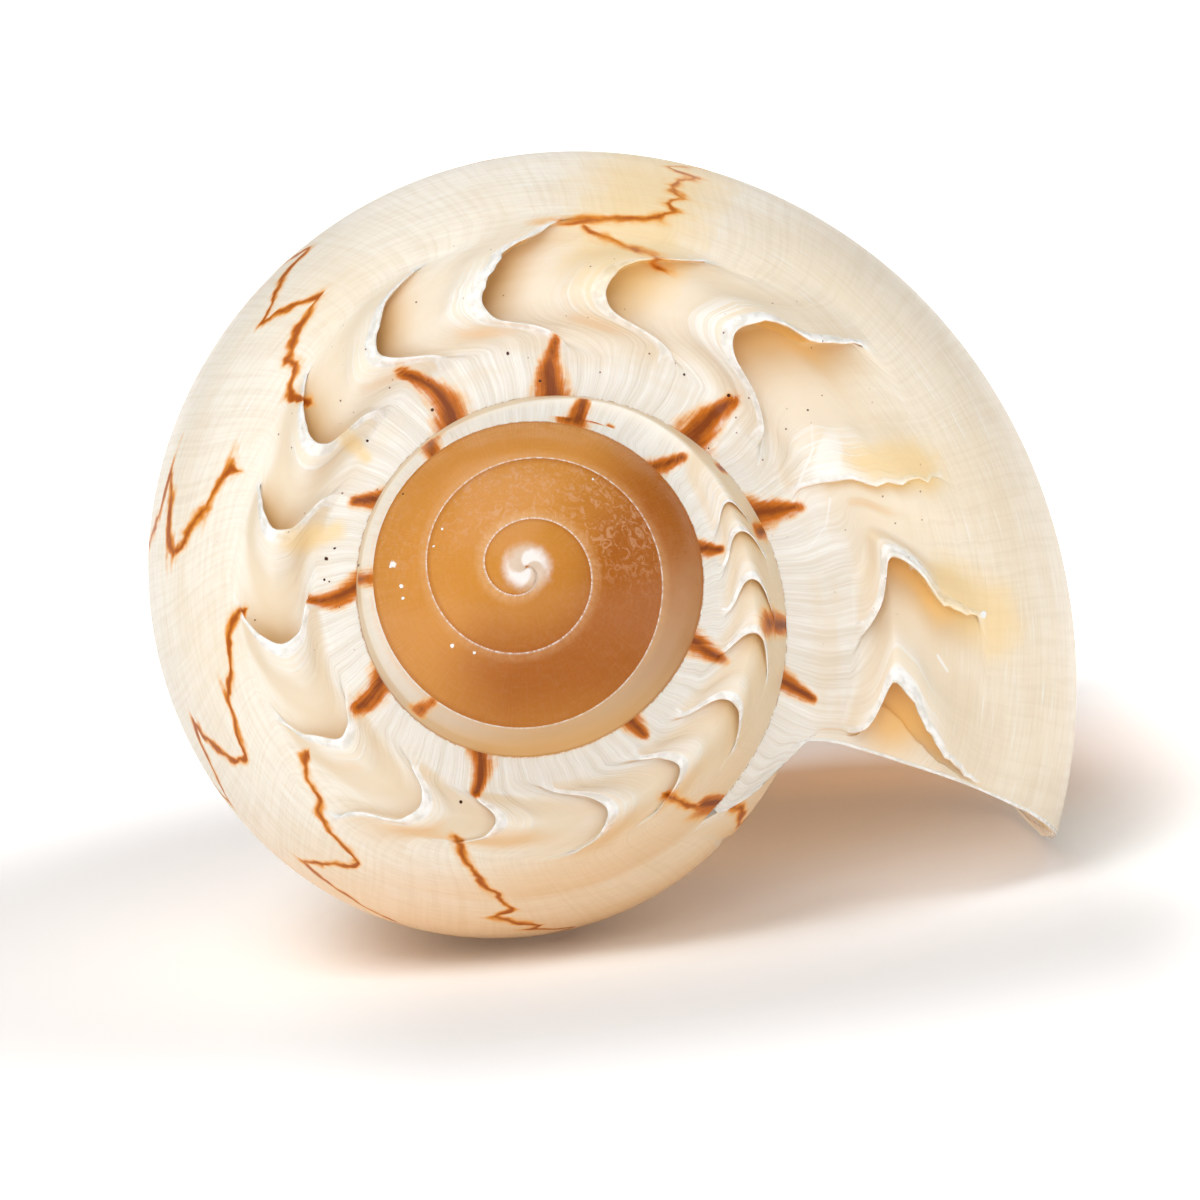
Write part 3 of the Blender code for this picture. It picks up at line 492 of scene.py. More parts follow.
class Skin:  # gathers points, faces and what is known at each corner
    def __init__(self):
        self.points, self.faces, self.corners = [], [], []
        self.tone = []  # amber with painted shade, pearl, fold, inside

    def add(self, point, tone):
        self.points.append(point)
        self.tone.append(tone)
        return len(self.points) - 1

    def face(self, ring, corners):
        keep = [i for i, c in enumerate(ring) if c != ring[i - 1]]
        if len({ring[i] for i in keep}) >= 3:
            self.faces.append([ring[i] for i in keep])
            self.corners.append([corners[i] for i in keep])


def cornerTag(lines, rows, c, r):
    return (lines["turned"][c, r], lines["reach"][c, r], lines["base"][c, r], rows[r],
            lines["spot"][c, r], lines["golden"][c, r])


def buildOutside(skin, rows, lines):
    side = int(np.searchsorted(rows, coil["side"]))
    last = len(rows) - 1
    perTurn = fine["columns"] * len(fine["stations"])
    base = lines["base"][:, 0]
    count = len(base)
    fineFrom = int(np.searchsorted(base, coil["shoulderFrom"])) // fine["columns"] * fine["columns"]
    bodyFrom = count - 1 - perTurn
    stride = fine["spireStride"]
    spireRows = np.unique(np.round(np.linspace(0, side, fine["spireRows"] + 1)).astype(int))
    points = lines["points"]
    apex = skin.add((0.0, 0.0, 0.0), (0, 0, 0, 0))
    tip = skin.add((0.0, 0.0, -coil["tipDepth"]), (0, 0, 0, 0))
    index = np.full((count, last + 1), -1)
    for c in range(count):
        if c < fineFrom and c % stride:
            picked = [side] if c + perTurn >= fineFrom else []
        elif c < fineFrom:
            picked = spireRows
        else:
            picked = range(0, (last if c >= bodyFrom else side) + 1)
        for r in picked:
            if c == 0 or (r == 0 and c < perTurn):
                index[c, r] = apex
            elif r == 0:
                index[c, r] = index[c - perTurn, side]
            elif r == last:
                index[c, r] = tip
            else:
                tone = (lines["amber"][c, r], lines["pearl"][c, r], lines["fold"][c, r], 0.0)
                index[c, r] = skin.add(tuple(points[c, r]), tone)
    columns = [*range(0, fineFrom, stride), *range(fineFrom, count)]
    for left, right in zip(columns, columns[1:]):
        ladder = list(spireRows) if left < fineFrom else range(0, (last if left >= bodyFrom else side) + 1)
        for top, bottom in zip(ladder, ladder[1:]):
            near = [(left, top), (left, bottom)]
            far = [(right, r) for r in range(bottom, top - 1, -1) if index[right, r] >= 0]
            below = [(c, bottom) for c in range(left + 1, right) if index[c, bottom] >= 0]
            above = [(c, top) for c in range(right - 1, left, -1) if index[c, top] >= 0]
            ring = (near + below + far + above)[::-1]
            skin.face([int(index[c, r]) for c, r in ring], [cornerTag(lines, rows, c, r) for c, r in ring])
    return index, bodyFrom


def moved(radius, depth, by):  # a line in the radial plane moved sideways
    alongR, alongD = np.gradient(radius), np.gradient(depth)
    length = np.hypot(alongR, alongD)
    return radius - by * alongD / length, depth + by * alongR / length


def cavityRing(growth):
    side, last = coil["side"], coil["last"]
    byLip = ease(coil["end"] - hollow["lipTaper"], coil["end"], growth)
    wall = hollow["wall"] + (hollow["lipWall"] - hollow["wall"]) * byLip
    callus = hollow["callus"] + (hollow["lipCallus"] - hollow["callus"]) * byLip
    fineRows = np.linspace(side, last, fine["search"])
    faceR, faceD = moved(*outline(growth - coil["turn"], fineRows), callus)
    trial = np.linspace(0.6, coil["ramp"] + 2.0, fine["search"])
    trialR, trialD = moved(*outline(growth, trial), wall)
    clear = int(np.argmax(trialR > np.interp(trialD, faceD, faceR) + hollow["cornerGap"]))
    wallRow = trial[clear]
    faceRow = fineRows[int(np.argmax(faceD > trialD[clear] + hollow["cornerGap"]))]

    rows = np.linspace(wallRow, last, fine["wallPoints"])
    lead = lipLead(rows, outline(growth, rows)[0])
    lead = lead * ease(coil["end"] - hollow["leadSpan"], coil["end"], growth)
    wallG = growth + lead + sweepBack(rows)
    wallR, wallD = moved(*outline(wallG, rows), wall)
    base = growth + sweepBack(last)
    _, dA = anterior(wallG[-1])
    floor = dA - (hollow["notchWall"] + (hollow["lipNotchWall"] - hollow["notchWall"]) * byLip)
    _, dB = anterior(base - coil["turn"])
    shares = np.linspace(1.0, 0.03, fine["pillarPoints"])
    pillarD = dB + (floor - dB) * shares
    pillarRows = last + (coil["foot"] - last) * (pillarD - dB) / (coil["tipDepth"] - dB)
    folds = sum(np.exp(-(((shares - p) / hollow["foldWidth"]) ** 2)) for p in hollow["folds"])
    pillarR = outline(base - coil["turn"], pillarRows)[0] + callus + hollow["foldHeight"] * folds
    wallD = np.minimum(wallD, floor - 0.5)
    wallR[-1], wallD[-1] = max(wallR[-1], pillarR[0] + 1.0), floor
    across = np.linspace(0, 1, fine["floorPoints"] + 2)[1:-1]
    floorR = wallR[-1] + (pillarR[0] - wallR[-1]) * across
    floorG = wallG[-1] + (base - wallG[-1]) * across
    rows = np.linspace(faceRow, last, fine["facePoints"])[::-1]
    faceG = growth + sweepBack(rows)
    faceR, faceD = moved(*outline(faceG - coil["turn"], rows), callus)
    turned = np.concatenate([wallG, floorG, np.full(len(pillarD), base), faceG])
    theta = np.radians(turned)
    radius = np.concatenate([wallR, floorR, pillarR, faceR])
    depth = np.concatenate([wallD, np.full(fine["floorPoints"], floor), pillarD, faceD])
    reach = np.concatenate([[0.0], np.cumsum(np.hypot(np.diff(radius), np.diff(depth)))])
    return np.stack([radius * np.cos(theta), -radius * np.sin(theta), -depth], axis=1), turned, reach, rows


def buildHollow(skin, rows, lines):
    steps = int(round((coil["end"] - fine["cavityStart"]) / fine["cavityStep"]))
    near, nearTags = None, None
    for growth in np.linspace(fine["cavityStart"], coil["end"], steps + 1):
        points, turned, reach, faceRows = cavityRing(growth)
        face = len(points) - len(faceRows)
        bare = float(ease(*hollow["bareFrom"], growth))  # by the lip the pillar face is the outer surface
        ring = [skin.add(tuple(p), (0, 0, 0, 1.0 - bare * (i >= face))) for i, p in enumerate(points)]
        tags = [(t, -s, growth, hollow["rowFrom"] + i * hollow["rowStep"], -1.0, -1.0)
                for i, (t, s) in enumerate(zip(turned, reach))]
        under = int(np.argmin(np.abs(lines["base"][:, 0] - (growth - coil["turn"]))))
        known = [np.interp(faceRows, rows, lines[k][under]) for k in ("turned", "reach", "spot", "golden")]
        for i, (t, s, brown, gold) in enumerate(zip(*known)):
            tags[face + i] = (t, s, growth - coil["turn"], faceRows[i], brown, gold)
        if near is None:
            skin.face(ring[::-1], tags[::-1])
        else:
            for i in range(len(ring)):
                skin.face([near[i - 1], near[i], ring[i], ring[i - 1]],
                          [nearTags[i - 1], nearTags[i], tags[i], tags[i - 1]])
        near, nearTags = ring, tags
    return near, nearTags


def stitch(skin, outer, inner):
    i = j = 0
    while i < len(outer) - 1 or j < len(inner) - 1:
        if (i + 1) * (len(inner) - 1) <= (j + 1) * (len(outer) - 1) and i < len(outer) - 1:
            trio = [outer[i + 1], outer[i], inner[j]]
            i += 1
        else:
            trio = [outer[i], inner[j], inner[j + 1]]
            j += 1
        skin.face([p for p, _ in trio], [t for _, t in trio])


def closeAperture(skin, rows, lines, index, bodyFrom, ring):
    side, last = (int(np.searchsorted(rows, coil[k])) for k in ("side", "last"))
    def column(c):
        return [(int(index[c, r]), cornerTag(lines, rows, c, r)) for r in range(len(rows))]
    lip, before = column(-1), column(bodyFrom)
    walls = fine["wallPoints"]
    foot = walls + fine["floorPoints"]
    faces = foot + fine["pillarPoints"]
    stitch(skin, lip[:last + 1], ring[:walls])
    stitch(skin, lip[last:], ring[walls - 1:foot + 1])
    stitch(skin, before[:last - 1:-1], ring[foot:faces + 1])
    stitch(skin, before[last:side:-1], ring[faces:])
    stitch(skin, [before[side + 1], lip[0]], [ring[-1], ring[0]])


tip, turn = math.radians(lying["tipped"]), math.radians(lying["turned"])
layDown = np.array(Matrix.Rotation(tip, 3, "X") @ Matrix.Rotation(turn, 3, "Z"))


def fitToFrame(points):  # the lowest point goes on the floor and the whole stays in the frame's box
    low, high = (np.array(v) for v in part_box("melon_shell"))
    world = points @ layDown.T
    size = world.max(axis=0) - world.min(axis=0)
    scale = float(min((high - low) / size)) * 0.9995
    middle = (world.max(axis=0) + world.min(axis=0)) / 2
    shift = (low + high) / 2 - middle * scale
    shift[2] = low[2] - world[:, 2].min() * scale
    return scale, shift


# what the three UV layers hold, and the units of their two values: growth in degrees and mm from the
# suture, growth line and row, brown spots and golden patches
layers = {"place": (360.0, 100.0), "grain": (360.0, 20.0), "stain": (1.0, 1.0)}


def buildShell():
    rows = rowList()
    lines = allLines(rows)
    skin = Skin()
    index, bodyFrom = buildOutside(skin, rows, lines)
    ring, tags = buildHollow(skin, rows, lines)
    closeAperture(skin, rows, lines, index, bodyFrom, list(zip(ring, tags)))
    points = np.array(skin.points, float)
    scale, shift = fitToFrame(points)
    world = points @ layDown.T * scale + shift
    mesh = bpy.data.meshes.new("melonShell")
    mesh.from_pydata([tuple(p) for p in world], [], skin.faces)
    corners = np.array([c for face in skin.corners for c in face], np.float32)
    for i, (name, units) in enumerate(layers.items()):
        values = (corners[:, 2 * i:2 * i + 2] / units).astype(np.float32)
        mesh.uv_layers.new(name=name).data.foreach_set("uv", values.ravel())
    tone = np.array(skin.tone, np.float32)
    for i, name in enumerate(("amber", "pearl", "fold", "inside")):
        layer = mesh.attributes.new(name, "FLOAT", "POINT")
        layer.data.foreach_set("value", np.ascontiguousarray(tone[:, i]))
    coil3 = mesh.attributes.new("coil", "FLOAT_VECTOR", "POINT")
    coil3.data.foreach_set("vector", points.astype(np.float32).ravel())
    mesh.validate()
    mesh.polygons.foreach_set("use_smooth", [True] * len(mesh.polygons))
    mesh.set_sharp_from_angle(angle=math.radians(55))
    obj = bpy.data.objects.new("melonShell", mesh)
    bpy.context.scene.collection.objects.link(obj)
    triangles = sum(len(f) - 2 for f in skin.faces)
    print("shell built:", len(points), "points,", triangles, "triangles, scale", round(scale * 1000, 4))
    return obj, scale, shift


shell, scale, shift = buildShell()


# shader helpers
class Wire:  # one socket of a node tree, usable in sums
    def __init__(self, tree, socket=None):
        self.tree, self.socket = tree, socket

    def node(self, kind, settings=None, values=None, out=0):
        made = self.tree.nodes.new(kind)
        for name, value in (settings or {}).items():
            if name == "curve":
                curve = made.mapping.curves[0]
                while len(curve.points) < len(value):
                    curve.points.new(0.5, 0.5)
                for point, (x, y) in zip(curve.points, value):
                    point.location, point.handle_type = (x, y), "VECTOR"
                made.mapping.update()
            else:
                setattr(made, name, value)
        for name, value in (values or {}).items():
            if isinstance(value, Wire):
                self.tree.links.new(value.socket, made.inputs[name])
            else:
                made.inputs[name].default_value = value
        return Wire(self.tree, made.outputs[out] if made.outputs else None)

    def output(self, which):  # another output of the same node
        return Wire(self.tree, self.socket.node.outputs[which])

    def math(self, operation, *others, flipped=False):
        terms = [self, *others]
        if flipped:
            terms.reverse()
        return self.node("ShaderNodeMath", {"operation": operation}, dict(enumerate(terms)))

    def __add__(self, other):
        return self.math("ADD", other)

    def __radd__(self, other):
        return self.math("ADD", other)

    def __sub__(self, other):
        return self.math("SUBTRACT", other)

    def __rsub__(self, other):
        return self.math("SUBTRACT", other, flipped=True)

    def __mul__(self, other):
        return self.math("MULTIPLY", other)

    def __rmul__(self, other):
        return self.math("MULTIPLY", other)

    def __truediv__(self, other):
        return self.math("DIVIDE", other)

    def __pow__(self, other):
        return self.math("POWER", other)

    def __abs__(self):
        return self.math("ABSOLUTE")

    def soft(self, low, high, straight=False):  # 0 below low, 1 above high
        return self.node("ShaderNodeMapRange", {"interpolation_type": "LINEAR" if straight else "SMOOTHSTEP"},
                         {0: self, 1: low, 2: high, 3: 0.0, 4: 1.0})

    def most(self, other):
        return self.math("MAXIMUM", other)

    def blend(self, first, second):  # colours, by this value
        return self.node("ShaderNodeMix", {"data_type": "RGBA"}, {0: self, 6: first, 7: second}, 2)

    def paint(self, under, look):  # one of the looks over another colour
        return self.blend(under, looks[look])


def colour(*display):  # display values 0-255 to linear light
    return (*(((v / 255 + 0.055) / 1.055) ** 2.4 if v > 10 else v / 3294.6 for v in display), 1.0)


# brown zigzag lines, from the flutes outward: (growth, reach in mm), their half width in mm and strength
zigzags = [
    {"half": 0.62, "tone": 1.0, "points": (
        (-303.5, 9.2), (-305.5, 10.9), (-306.0, 12.7), (-309.0, 15.6), (-308.5, 18.7), (-311.0, 21.0),
        (-309.0, 23.0))},
    {"half": 0.42, "tone": 0.9, "points": (
        (-254.0, 9.8), (-256.0, 11.1), (-258.0, 12.9), (-261.0, 15.5), (-264.5, 18.1), (-267.5, 20.1),
        (-264.0, 21.7), (-271.5, 23.6), (-269.5, 24.3), (-277.0, 26.5))},
    {"half": 0.36, "tone": 0.9, "points": (
        (-217.5, 11.2), (-218.5, 12.0), (-222.5, 13.1), (-226.5, 14.1), (-229.5, 15.4), (-234.0, 16.4),
        (-238.0, 17.7), (-237.0, 19.0), (-232.5, 21.5), (-230.5, 23.9), (-237.5, 25.0), (-246.0, 27.7))},
    {"half": 0.40, "tone": 0.95, "points": (
        (-185.5, 12.9), (-187.5, 13.8), (-192.5, 14.7), (-197.0, 15.2), (-200.0, 16.2), (-202.0, 17.0),
        (-206.0, 17.3), (-210.0, 17.8), (-211.0, 18.7), (-209.5, 20.9), (-205.5, 23.0), (-201.0, 25.2),
        (-210.0, 26.9), (-215.0, 28.9))},
    {"half": 0.62, "tone": 0.9, "points": (
        (-158.0, 16.5), (-158.0, 17.1), (-161.5, 18.1), (-166.5, 18.6), (-168.5, 19.7), (-171.5, 21.3),
        (-174.0, 23.3), (-171.0, 24.9), (-166.0, 25.7), (-161.0, 27.8), (-168.0, 28.8), (-171.0, 31.5))},
    {"half": 0.5, "tone": 0.9, "points": (
        (-140.0, 13.1), (-141.0, 14.2), (-140.5, 15.5), (-136.5, 16.5), (-136.5, 17.8), (-133.5, 19.1),
        (-130.0, 20.2), (-125.0, 21.4), (-130.5, 23.5), (-134.5, 25.5), (-131.5, 27.0), (-127.5, 30.5))},
    {"half": 0.46, "tone": 0.65, "points": (
        (-84.0, 20.7), (-81.0, 21.2), (-76.5, 21.8), (-71.5, 22.8), (-69.0, 24.8), (-70.5, 26.0),
        (-69.0, 27.4), (-71.5, 29.2), (-69.0, 33.6))},
    {"half": 0.42, "tone": 0.6, "points": ((-68.0, 16.8), (-71.5, 17.7), (-78.5, 18.9), (-81.0, 20.3))},
]
# how the marks go on down the side: mm of reach in a step, degrees of swing and where each part ends
farLines = {"step": 3.4, "steps": (0.5, 1.4), "swing": 5.0, "swings": (0.4, 1.2), "drift": (-0.4, 0.9),
            "goOnFrom": 22.5, "goOnUntil": 86.0, "until": 88.0, "half": 0.42, "tone": 0.85, "seed": 7,
            "starts": ((-97.0, 38.0), (-42.0, 41.0), (-2.0, 42.0))}
# what a curve node's 0 to 1 stands for, and the step over which its slope is measured
markRange = {"reach": 96.0, "span": 90.0, "slopeStep": 0.5}


def wander(points, side, until, chance):
    growth, reach = points[-1]
    while reach < until:
        reach += farLines["step"] * chance.uniform(*farLines["steps"])
        growth += side * farLines["swing"] * chance.uniform(*farLines["swings"])
        growth += chance.uniform(*farLines["drift"])
        side = -side
        points.append((growth, reach))
    return points


def zigzagPoints():
    chance = np.random.default_rng(farLines["seed"])
    every = []
    for k, mark in enumerate(zigzags):
        points = list(mark["points"])
        if points[-1][1] > farLines["goOnFrom"]:  # those that reach the widest part go on below it
            wander(points, 1 if k % 2 else -1, farLines["goOnUntil"], chance)
        every.append({**mark, "points": points})
    for start in farLines["starts"]:
        points = wander([start], 1, farLines["until"], chance)
        every.append({"half": farLines["half"], "tone": farLines["tone"], "points": points})
    return every


looks = {name: colour(*display) for name, display in {
    "cream": (246, 238, 224), "sand": (238, 223, 199), "thread": (217, 198, 169), "white": (247, 245, 240),
    "silk": (218, 207, 191), "honey": (237, 217, 184), "beige": (222, 197, 158), "pearl": (250, 249, 247),
    "shade": (228, 225, 218), "peach": (228, 205, 170), "hollow": (220, 186, 138),
    "hollowDeep": (200, 154, 90), "hollowLate": (244, 196, 118), "inside": (240, 208, 168),
    "dome": (208, 140, 62), "domeShade": (168, 94, 24), "domeMottle": (218, 166, 126),
    "domeWarm": (202, 136, 54), "domePale": (222, 174, 124), "tan": (182, 124, 66),
    "tanPale": (188, 156, 120), "brown": (134, 64, 16), "rust": (204, 112, 26), "gold": (238, 174, 78),
    "line": (172, 86, 22), "lineThin": (224, 142, 50), "golden": (244, 208, 138), "speck": (120, 58, 20),
    "grit": (72, 34, 16), "seam": (186, 142, 98), "rusty": (150, 84, 44), "nucleus": (240, 237, 234),
    "nucleusTan": (216, 196, 176), "black": (0, 0, 0),
}.items()}
# noise that runs with the coil: scales across and along, offset, detail and roughness
patterns = {
    "threads": (0.12, 2.1, 0.0, 3.0, 0.6), "strands": (1.3, 0.07, 0.0, 3.0, 0.6),
    "dashes": (0.16, 3.4, 7.0, 2.0, 0.5), "drift": (0.045, 0.22, 12.0, 3.0, 0.55),
    "ribWide": (0.42, 0.05, 2.0, 1.0, 0.35), "ribFine": (2.2, 0.09, 5.0, 2.0, 0.5),
    "arcs": (1.15, 0.05, 11.0, 2.0, 0.5), "dots": (0.35, 0.8, 6.0, 2.0, 0.6),
    "seamDots": (0.4, 0.5, 8.0, 3.0, 0.7), "wander": (0.4, 0.16, 3.0, 2.0, 0.5),
    "thick": (0.42, 0.2, 9.0, 2.0, 0.55), "streak": (0.5, 0.16, 1.0, 2.0, 0.5),
    "streakFine": (1.6, 0.12, 15.0, 2.0, 0.5),
}
# noise in space: scale, detail, roughness and distortion
clouds = {
    "broad": (0.055, 3.0, 0.5, 0.0), "middle": (0.45, 3.0, 0.6, 0.0), "small": (1.6, 3.0, 0.6, 0.0),
    "beads": (0.8, 2.0, 0.5, 0.0), "squiggle": (0.95, 3.0, 0.6, 1.6), "wobble": (0.42, 2.0, 0.5, 0.0),
    "fading": (0.12, 2.0, 0.5, 0.0),
}
# where one look gives way to the next: what is measured, from and to
edges = {
    "sandy": ("growth", -120.0, 10.0), "side": ("row", 6.5, 8.5), "lowerSide": ("row", 9.0, 13.0),
    "lateTurn": ("growth", -345.0, -240.0), "overShoulder": ("row", 6.2, 8.0), "rampEnd": ("row", 3.4, 7.2),
    "silky": ("growth", -660.0, -400.0), "offSuture": ("reach", 1.5, 5.0),
    "crowdedLines": ("line", 11.6, 13.6), "crowdedRows": ("row", 1.4, 2.8),
    "foldStart": ("fold", 0.02, 0.2), "foldRise": ("fold", 0.3, 0.75), "foldTop": ("fold", 0.35, 0.9),
    "foldArcs": ("fold", 0.3, 0.8), "troughStart": ("row", 1.5, 3.5), "troughEnd": ("row", 8.0, 10.0),
    "pastLowLeft": ("growth", -165.0, -125.0), "arcsEnd": ("row", 6.6, 8.6), "hollow": ("amber", 0.03, 0.7),
    "hollowDeep": ("amber", 0.45, 0.95), "lateHollows": ("growth", -70.0, -20.0),
    "lastLine": ("line", 12.5, 12.8), "lastRow": ("row", 3.0, 3.5), "rim": ("pearl", 0.0, 0.9),
    "domeHeart": ("radius", 4.0, 9.5), "mottleStart": ("growth", -1270.0, -1195.0),
    "mottleEnd": ("growth", -930.0, -840.0), "tanPale": ("growth", -715.0, -655.0),
    "pastTan": ("growth", -640.0, -540.0), "pastEarly": ("growth", -560.0, -420.0),
    "joinStart": ("row", 10.6, 12.0), "joinEnd": ("row", 12.0, 12.2),
    "outerTurns": ("growth", -1215.0, -1000.0), "byLip": ("growth", -60.0, -50.0),
    "pastHood": ("line", -22.5, -21.5), "flecksEnd": ("row", 11.5, 12.5), "farMarks": ("reach", 34.0, 44.0),
    "offDome": ("radius", 8.0, 12.0), "spotsFull": ("growth", -500.0, -470.0),
    "specksStart": ("growth", -215.0, -190.0), "specksEnd": ("growth", -20.0, 20.0),
    "specksRow": ("row", 7.5, 9.5), "paleLining": ("growth", 0.0, 20.0),
    "thinWall": ("growth", -20.0, 25.0),
}
# heights of the relief in mm
relief = {
    "ribWide": 0.12, "ribFine": 0.035, "grain": 0.01, "threads": 0.016, "strands": 0.03, "arcs": 0.04,
    "edgeLine": 0.06, "paleBand": 0.03, "squiggle": 0.01, "mottle": 0.05, "beads": 0.08, "chipAndGlint": 0.05,
}
surfaceLooks = {  # constants of the shader, and how gloss and coat change with the finish
    "specular": 0.2, "coatRoughness": 0.12, "through": 0.3, "subsurface": 0.1, "depths": (1.0, 0.6, 0.35),
    "roughness": 0.34, "domeGloss": 0.1, "pearlGloss": 0.2, "weaveDull": 0.08,
    "pearlCoat": 0.7, "rampCoat": 0.2, "hollowCoat": 0.15, "domeCoat": 0.12,
}
# little white chips, partly painted glints, as places seen from the apex in mm and sizes
chipsAndGlints = [(-14.3, 1.0, 0.42), (-13.4, -1.4, 0.26), (-13.2, -2.7, 0.2), (49.4, -2.3, 0.42), (55.7, -23.9, 0.4),
         (-7.9, -7.9, 0.22), (-5.6, -8.7, 0.18), (-9.0, 4.4, 0.15), (6.9, 9.9, 0.15), (-9.9, 2.6, 0.14)]
# dark specks of grit in the same way
grit = [(-2.3, 25.1, 0.2), (1.2, 22.0, 0.17), (-10.4, 18.8, 0.17), (-17.4, 15.5, 0.17), (16.8, 23.1, 0.16),
        (-21.7, 2.6, 0.24), (-20.8, 3.7, 0.18), (-18.2, 1.6, 0.18), (-13.3, 8.8, 0.13), (-21.9, 0.3, 0.16),
        (-21.4, 0.1, 0.13), (-7.2, -23.6, 0.18), (21.6, 20.8, 0.2), (19.4, 14.9, 0.12), (30.2, 19.4, 0.14)]
# thin white edges and scratches seen from the apex: start, end, half width and strength
# the first two are the broken hood's edge, and the surface is whiter on their outer side
strokes = [(30.6, 17.7, 30.7, 15.0, 0.14, 0.3), (30.7, 15.0, 29.0, 10.9, 0.18, 0.6),
           (32.6, 9.8, 32.2, 7.0, 0.13, 0.5), (32.2, 7.0, 30.2, 4.3, 0.12, 0.4),
           (20.9, 19.9, 20.7, 17.2, 0.13, 0.8), (20.3, 15.6, 18.9, 13.6, 0.15, 0.8),
           (44.3, -7.0, 45.4, -8.7, 0.17, 0.7), (40.8, 4.4, 41.5, 2.4, 0.15, 0.6),
           (25.4, 16.4, 24.8, 13.4, 0.12, 0.5)]
# both in mm as seen from the apex
lastHollow = {"middle": (39.3, -13.8), "fades": (0.8, 5.5)}
brokenHood = {"middle": (32.3, 13.8), "lean": -0.12, "across": 0.55, "along": 0.27, "fades": (0.3, 1.1),
              "edge": (29.4, 10.9), "slope": 0.42, "sharp": (-0.12, 0.1)}


class Ground:  # where each point of the shell lies and what runs over it, as wires
    def __init__(self, tree):
        self.start = Wire(tree)
        self.growth, self.reach = self.layer("place")
        self.line, self.row = self.layer("grain")
        self.spot, self.golden = self.layer("stain")
        self.amber, self.pearl = self.attribute("amber"), self.attribute("pearl")
        self.fold, self.inside = self.attribute("fold"), self.attribute("inside")
        self.outside = 1 - self.inside
        self.place = self.attribute("coil", 1)
        self.sideways, self.upward, _ = self.parts(self.place)
        self.radius = (self.sideways * self.sideways + self.upward * self.upward) ** 0.5
        self.perDegree = self.radius * (math.pi / 180)
        self.broad, self.middle, self.small = (self.cloud(name) for name in ("broad", "middle", "small"))
        self.onRamp = (1 - self.edge("rampEnd")) * self.edge("silky")
        self.crowded = self.edge("crowdedLines") * self.edge("crowdedRows")  # growth lines crowd at the lip
        self.early = 1 - self.edge("pastEarly")
        self.lowLeft = 1 - self.edge("pastLowLeft")

    def attribute(self, name, out=2):
        return self.start.node("ShaderNodeAttribute", {"attribute_name": name}, out=out)

    def parts(self, vector):
        first = self.start.node("ShaderNodeSeparateXYZ", {}, {0: vector})
        return first, first.output(1), first.output(2)

    def layer(self, name):
        first, second, _ = self.parts(self.start.node("ShaderNodeUVMap", {"uv_map": name}))
        return first * layers[name][0], second * layers[name][1]

    def noise(self, at, scale, detail, roughness, distortion=0.0):
        return self.start.node("ShaderNodeTexNoise", {"noise_dimensions": "3D"},
                               {"Vector": at, "Scale": scale, "Detail": detail, "Roughness": roughness,
                                "Distortion": distortion})

    def cloud(self, name):
        return self.noise(self.place, *clouds[name])

    def pattern(self, name, across, along):
        acrossScale, alongScale, offset, detail, roughness = patterns[name]
        across, along = across * acrossScale, along * alongScale
        at = self.start.node("ShaderNodeCombineXYZ", {}, {0: across, 1: along, 2: offset})
        return self.noise(at, 1.0, detail, roughness)

    def edge(self, name):
        measured, low, high = edges[name]
        return getattr(self, measured).soft(low, high)

    def apart(self, x, y):  # distance from a place seen from the apex
        return ((self.sideways - x) ** 2.0 + (self.upward - y) ** 2.0) ** 0.5


def creamBody(g):  # cream, sandier toward the lip, with a cloth-like lattice of threads and growth lines
    g.threads, g.drift = (g.pattern(name, g.growth, g.reach) for name in ("threads", "drift"))
    g.strands = g.pattern("strands", g.line, g.reach)
    g.weave = (g.threads.soft(0.40, 0.66) + g.strands.soft(0.40, 0.66)) * 0.5
    side = g.edge("side")
    body = (g.edge("sandy") * 0.75 + g.drift.soft(0.42, 0.7) * 0.45).blend(looks["cream"], looks["sand"])
    body = (g.weave * side * 0.42).paint(body, "thread")
    body = (g.pattern("dashes", g.growth, g.reach).soft(0.60, 0.74) * side * 0.6).paint(body, "white")
    body = (g.broad.soft(0.45, 0.7) * 0.4 * (1 - g.edge("lowerSide"))).paint(body, "honey")
    return ((1 - g.edge("lateTurn")) * g.edge("overShoulder") * 0.75).paint(body, "beige")


def silkRamp(g, body):  # white silky ribs, warm painted shade in the troughs before the hoods, and pale arcs round the flutes, part growth lines and part painted highlight
    g.ribWide = g.pattern("ribWide", g.line, g.reach).soft(0.22, 0.78)
    g.ribFine = g.pattern("ribFine", g.line, g.reach).soft(0.25, 0.75)
    ramp = (g.ribWide * 0.45 + g.ribFine * 0.55).blend(looks["silk"], looks["white"])
    ramp = (g.drift.soft(0.4, 0.62) * g.edge("offSuture") * 0.35).paint(ramp, "peach")
    body = (g.onRamp * (0.88 - g.amber * 0.88)).blend(body, ramp)
    # painted shade: the trough in front of each hood's back is warmed and darkened
    troughShade = g.edge("foldStart") * (1 - g.edge("foldRise"))
    troughShade = troughShade * g.edge("troughStart") * (1 - g.edge("troughEnd"))
    body = (troughShade * (0.4 + g.lowLeft * 0.25)).paint(body, "peach")
    # pale growth arcs on the hoods' backs: part their own lines, part painted highlight streaks
    arcs = g.pattern("arcs", g.line, g.reach).soft(0.46, 0.62)
    g.arcs = arcs * g.edge("foldArcs") * (1 - g.edge("arcsEnd")) * (1 - g.crowded)
    body = (g.edge("foldTop") * 0.25 * (1 - g.arcs)).paint(body, "honey")
    return (g.arcs * (0.65 - g.lowLeft * 0.4)).paint(body, "white")


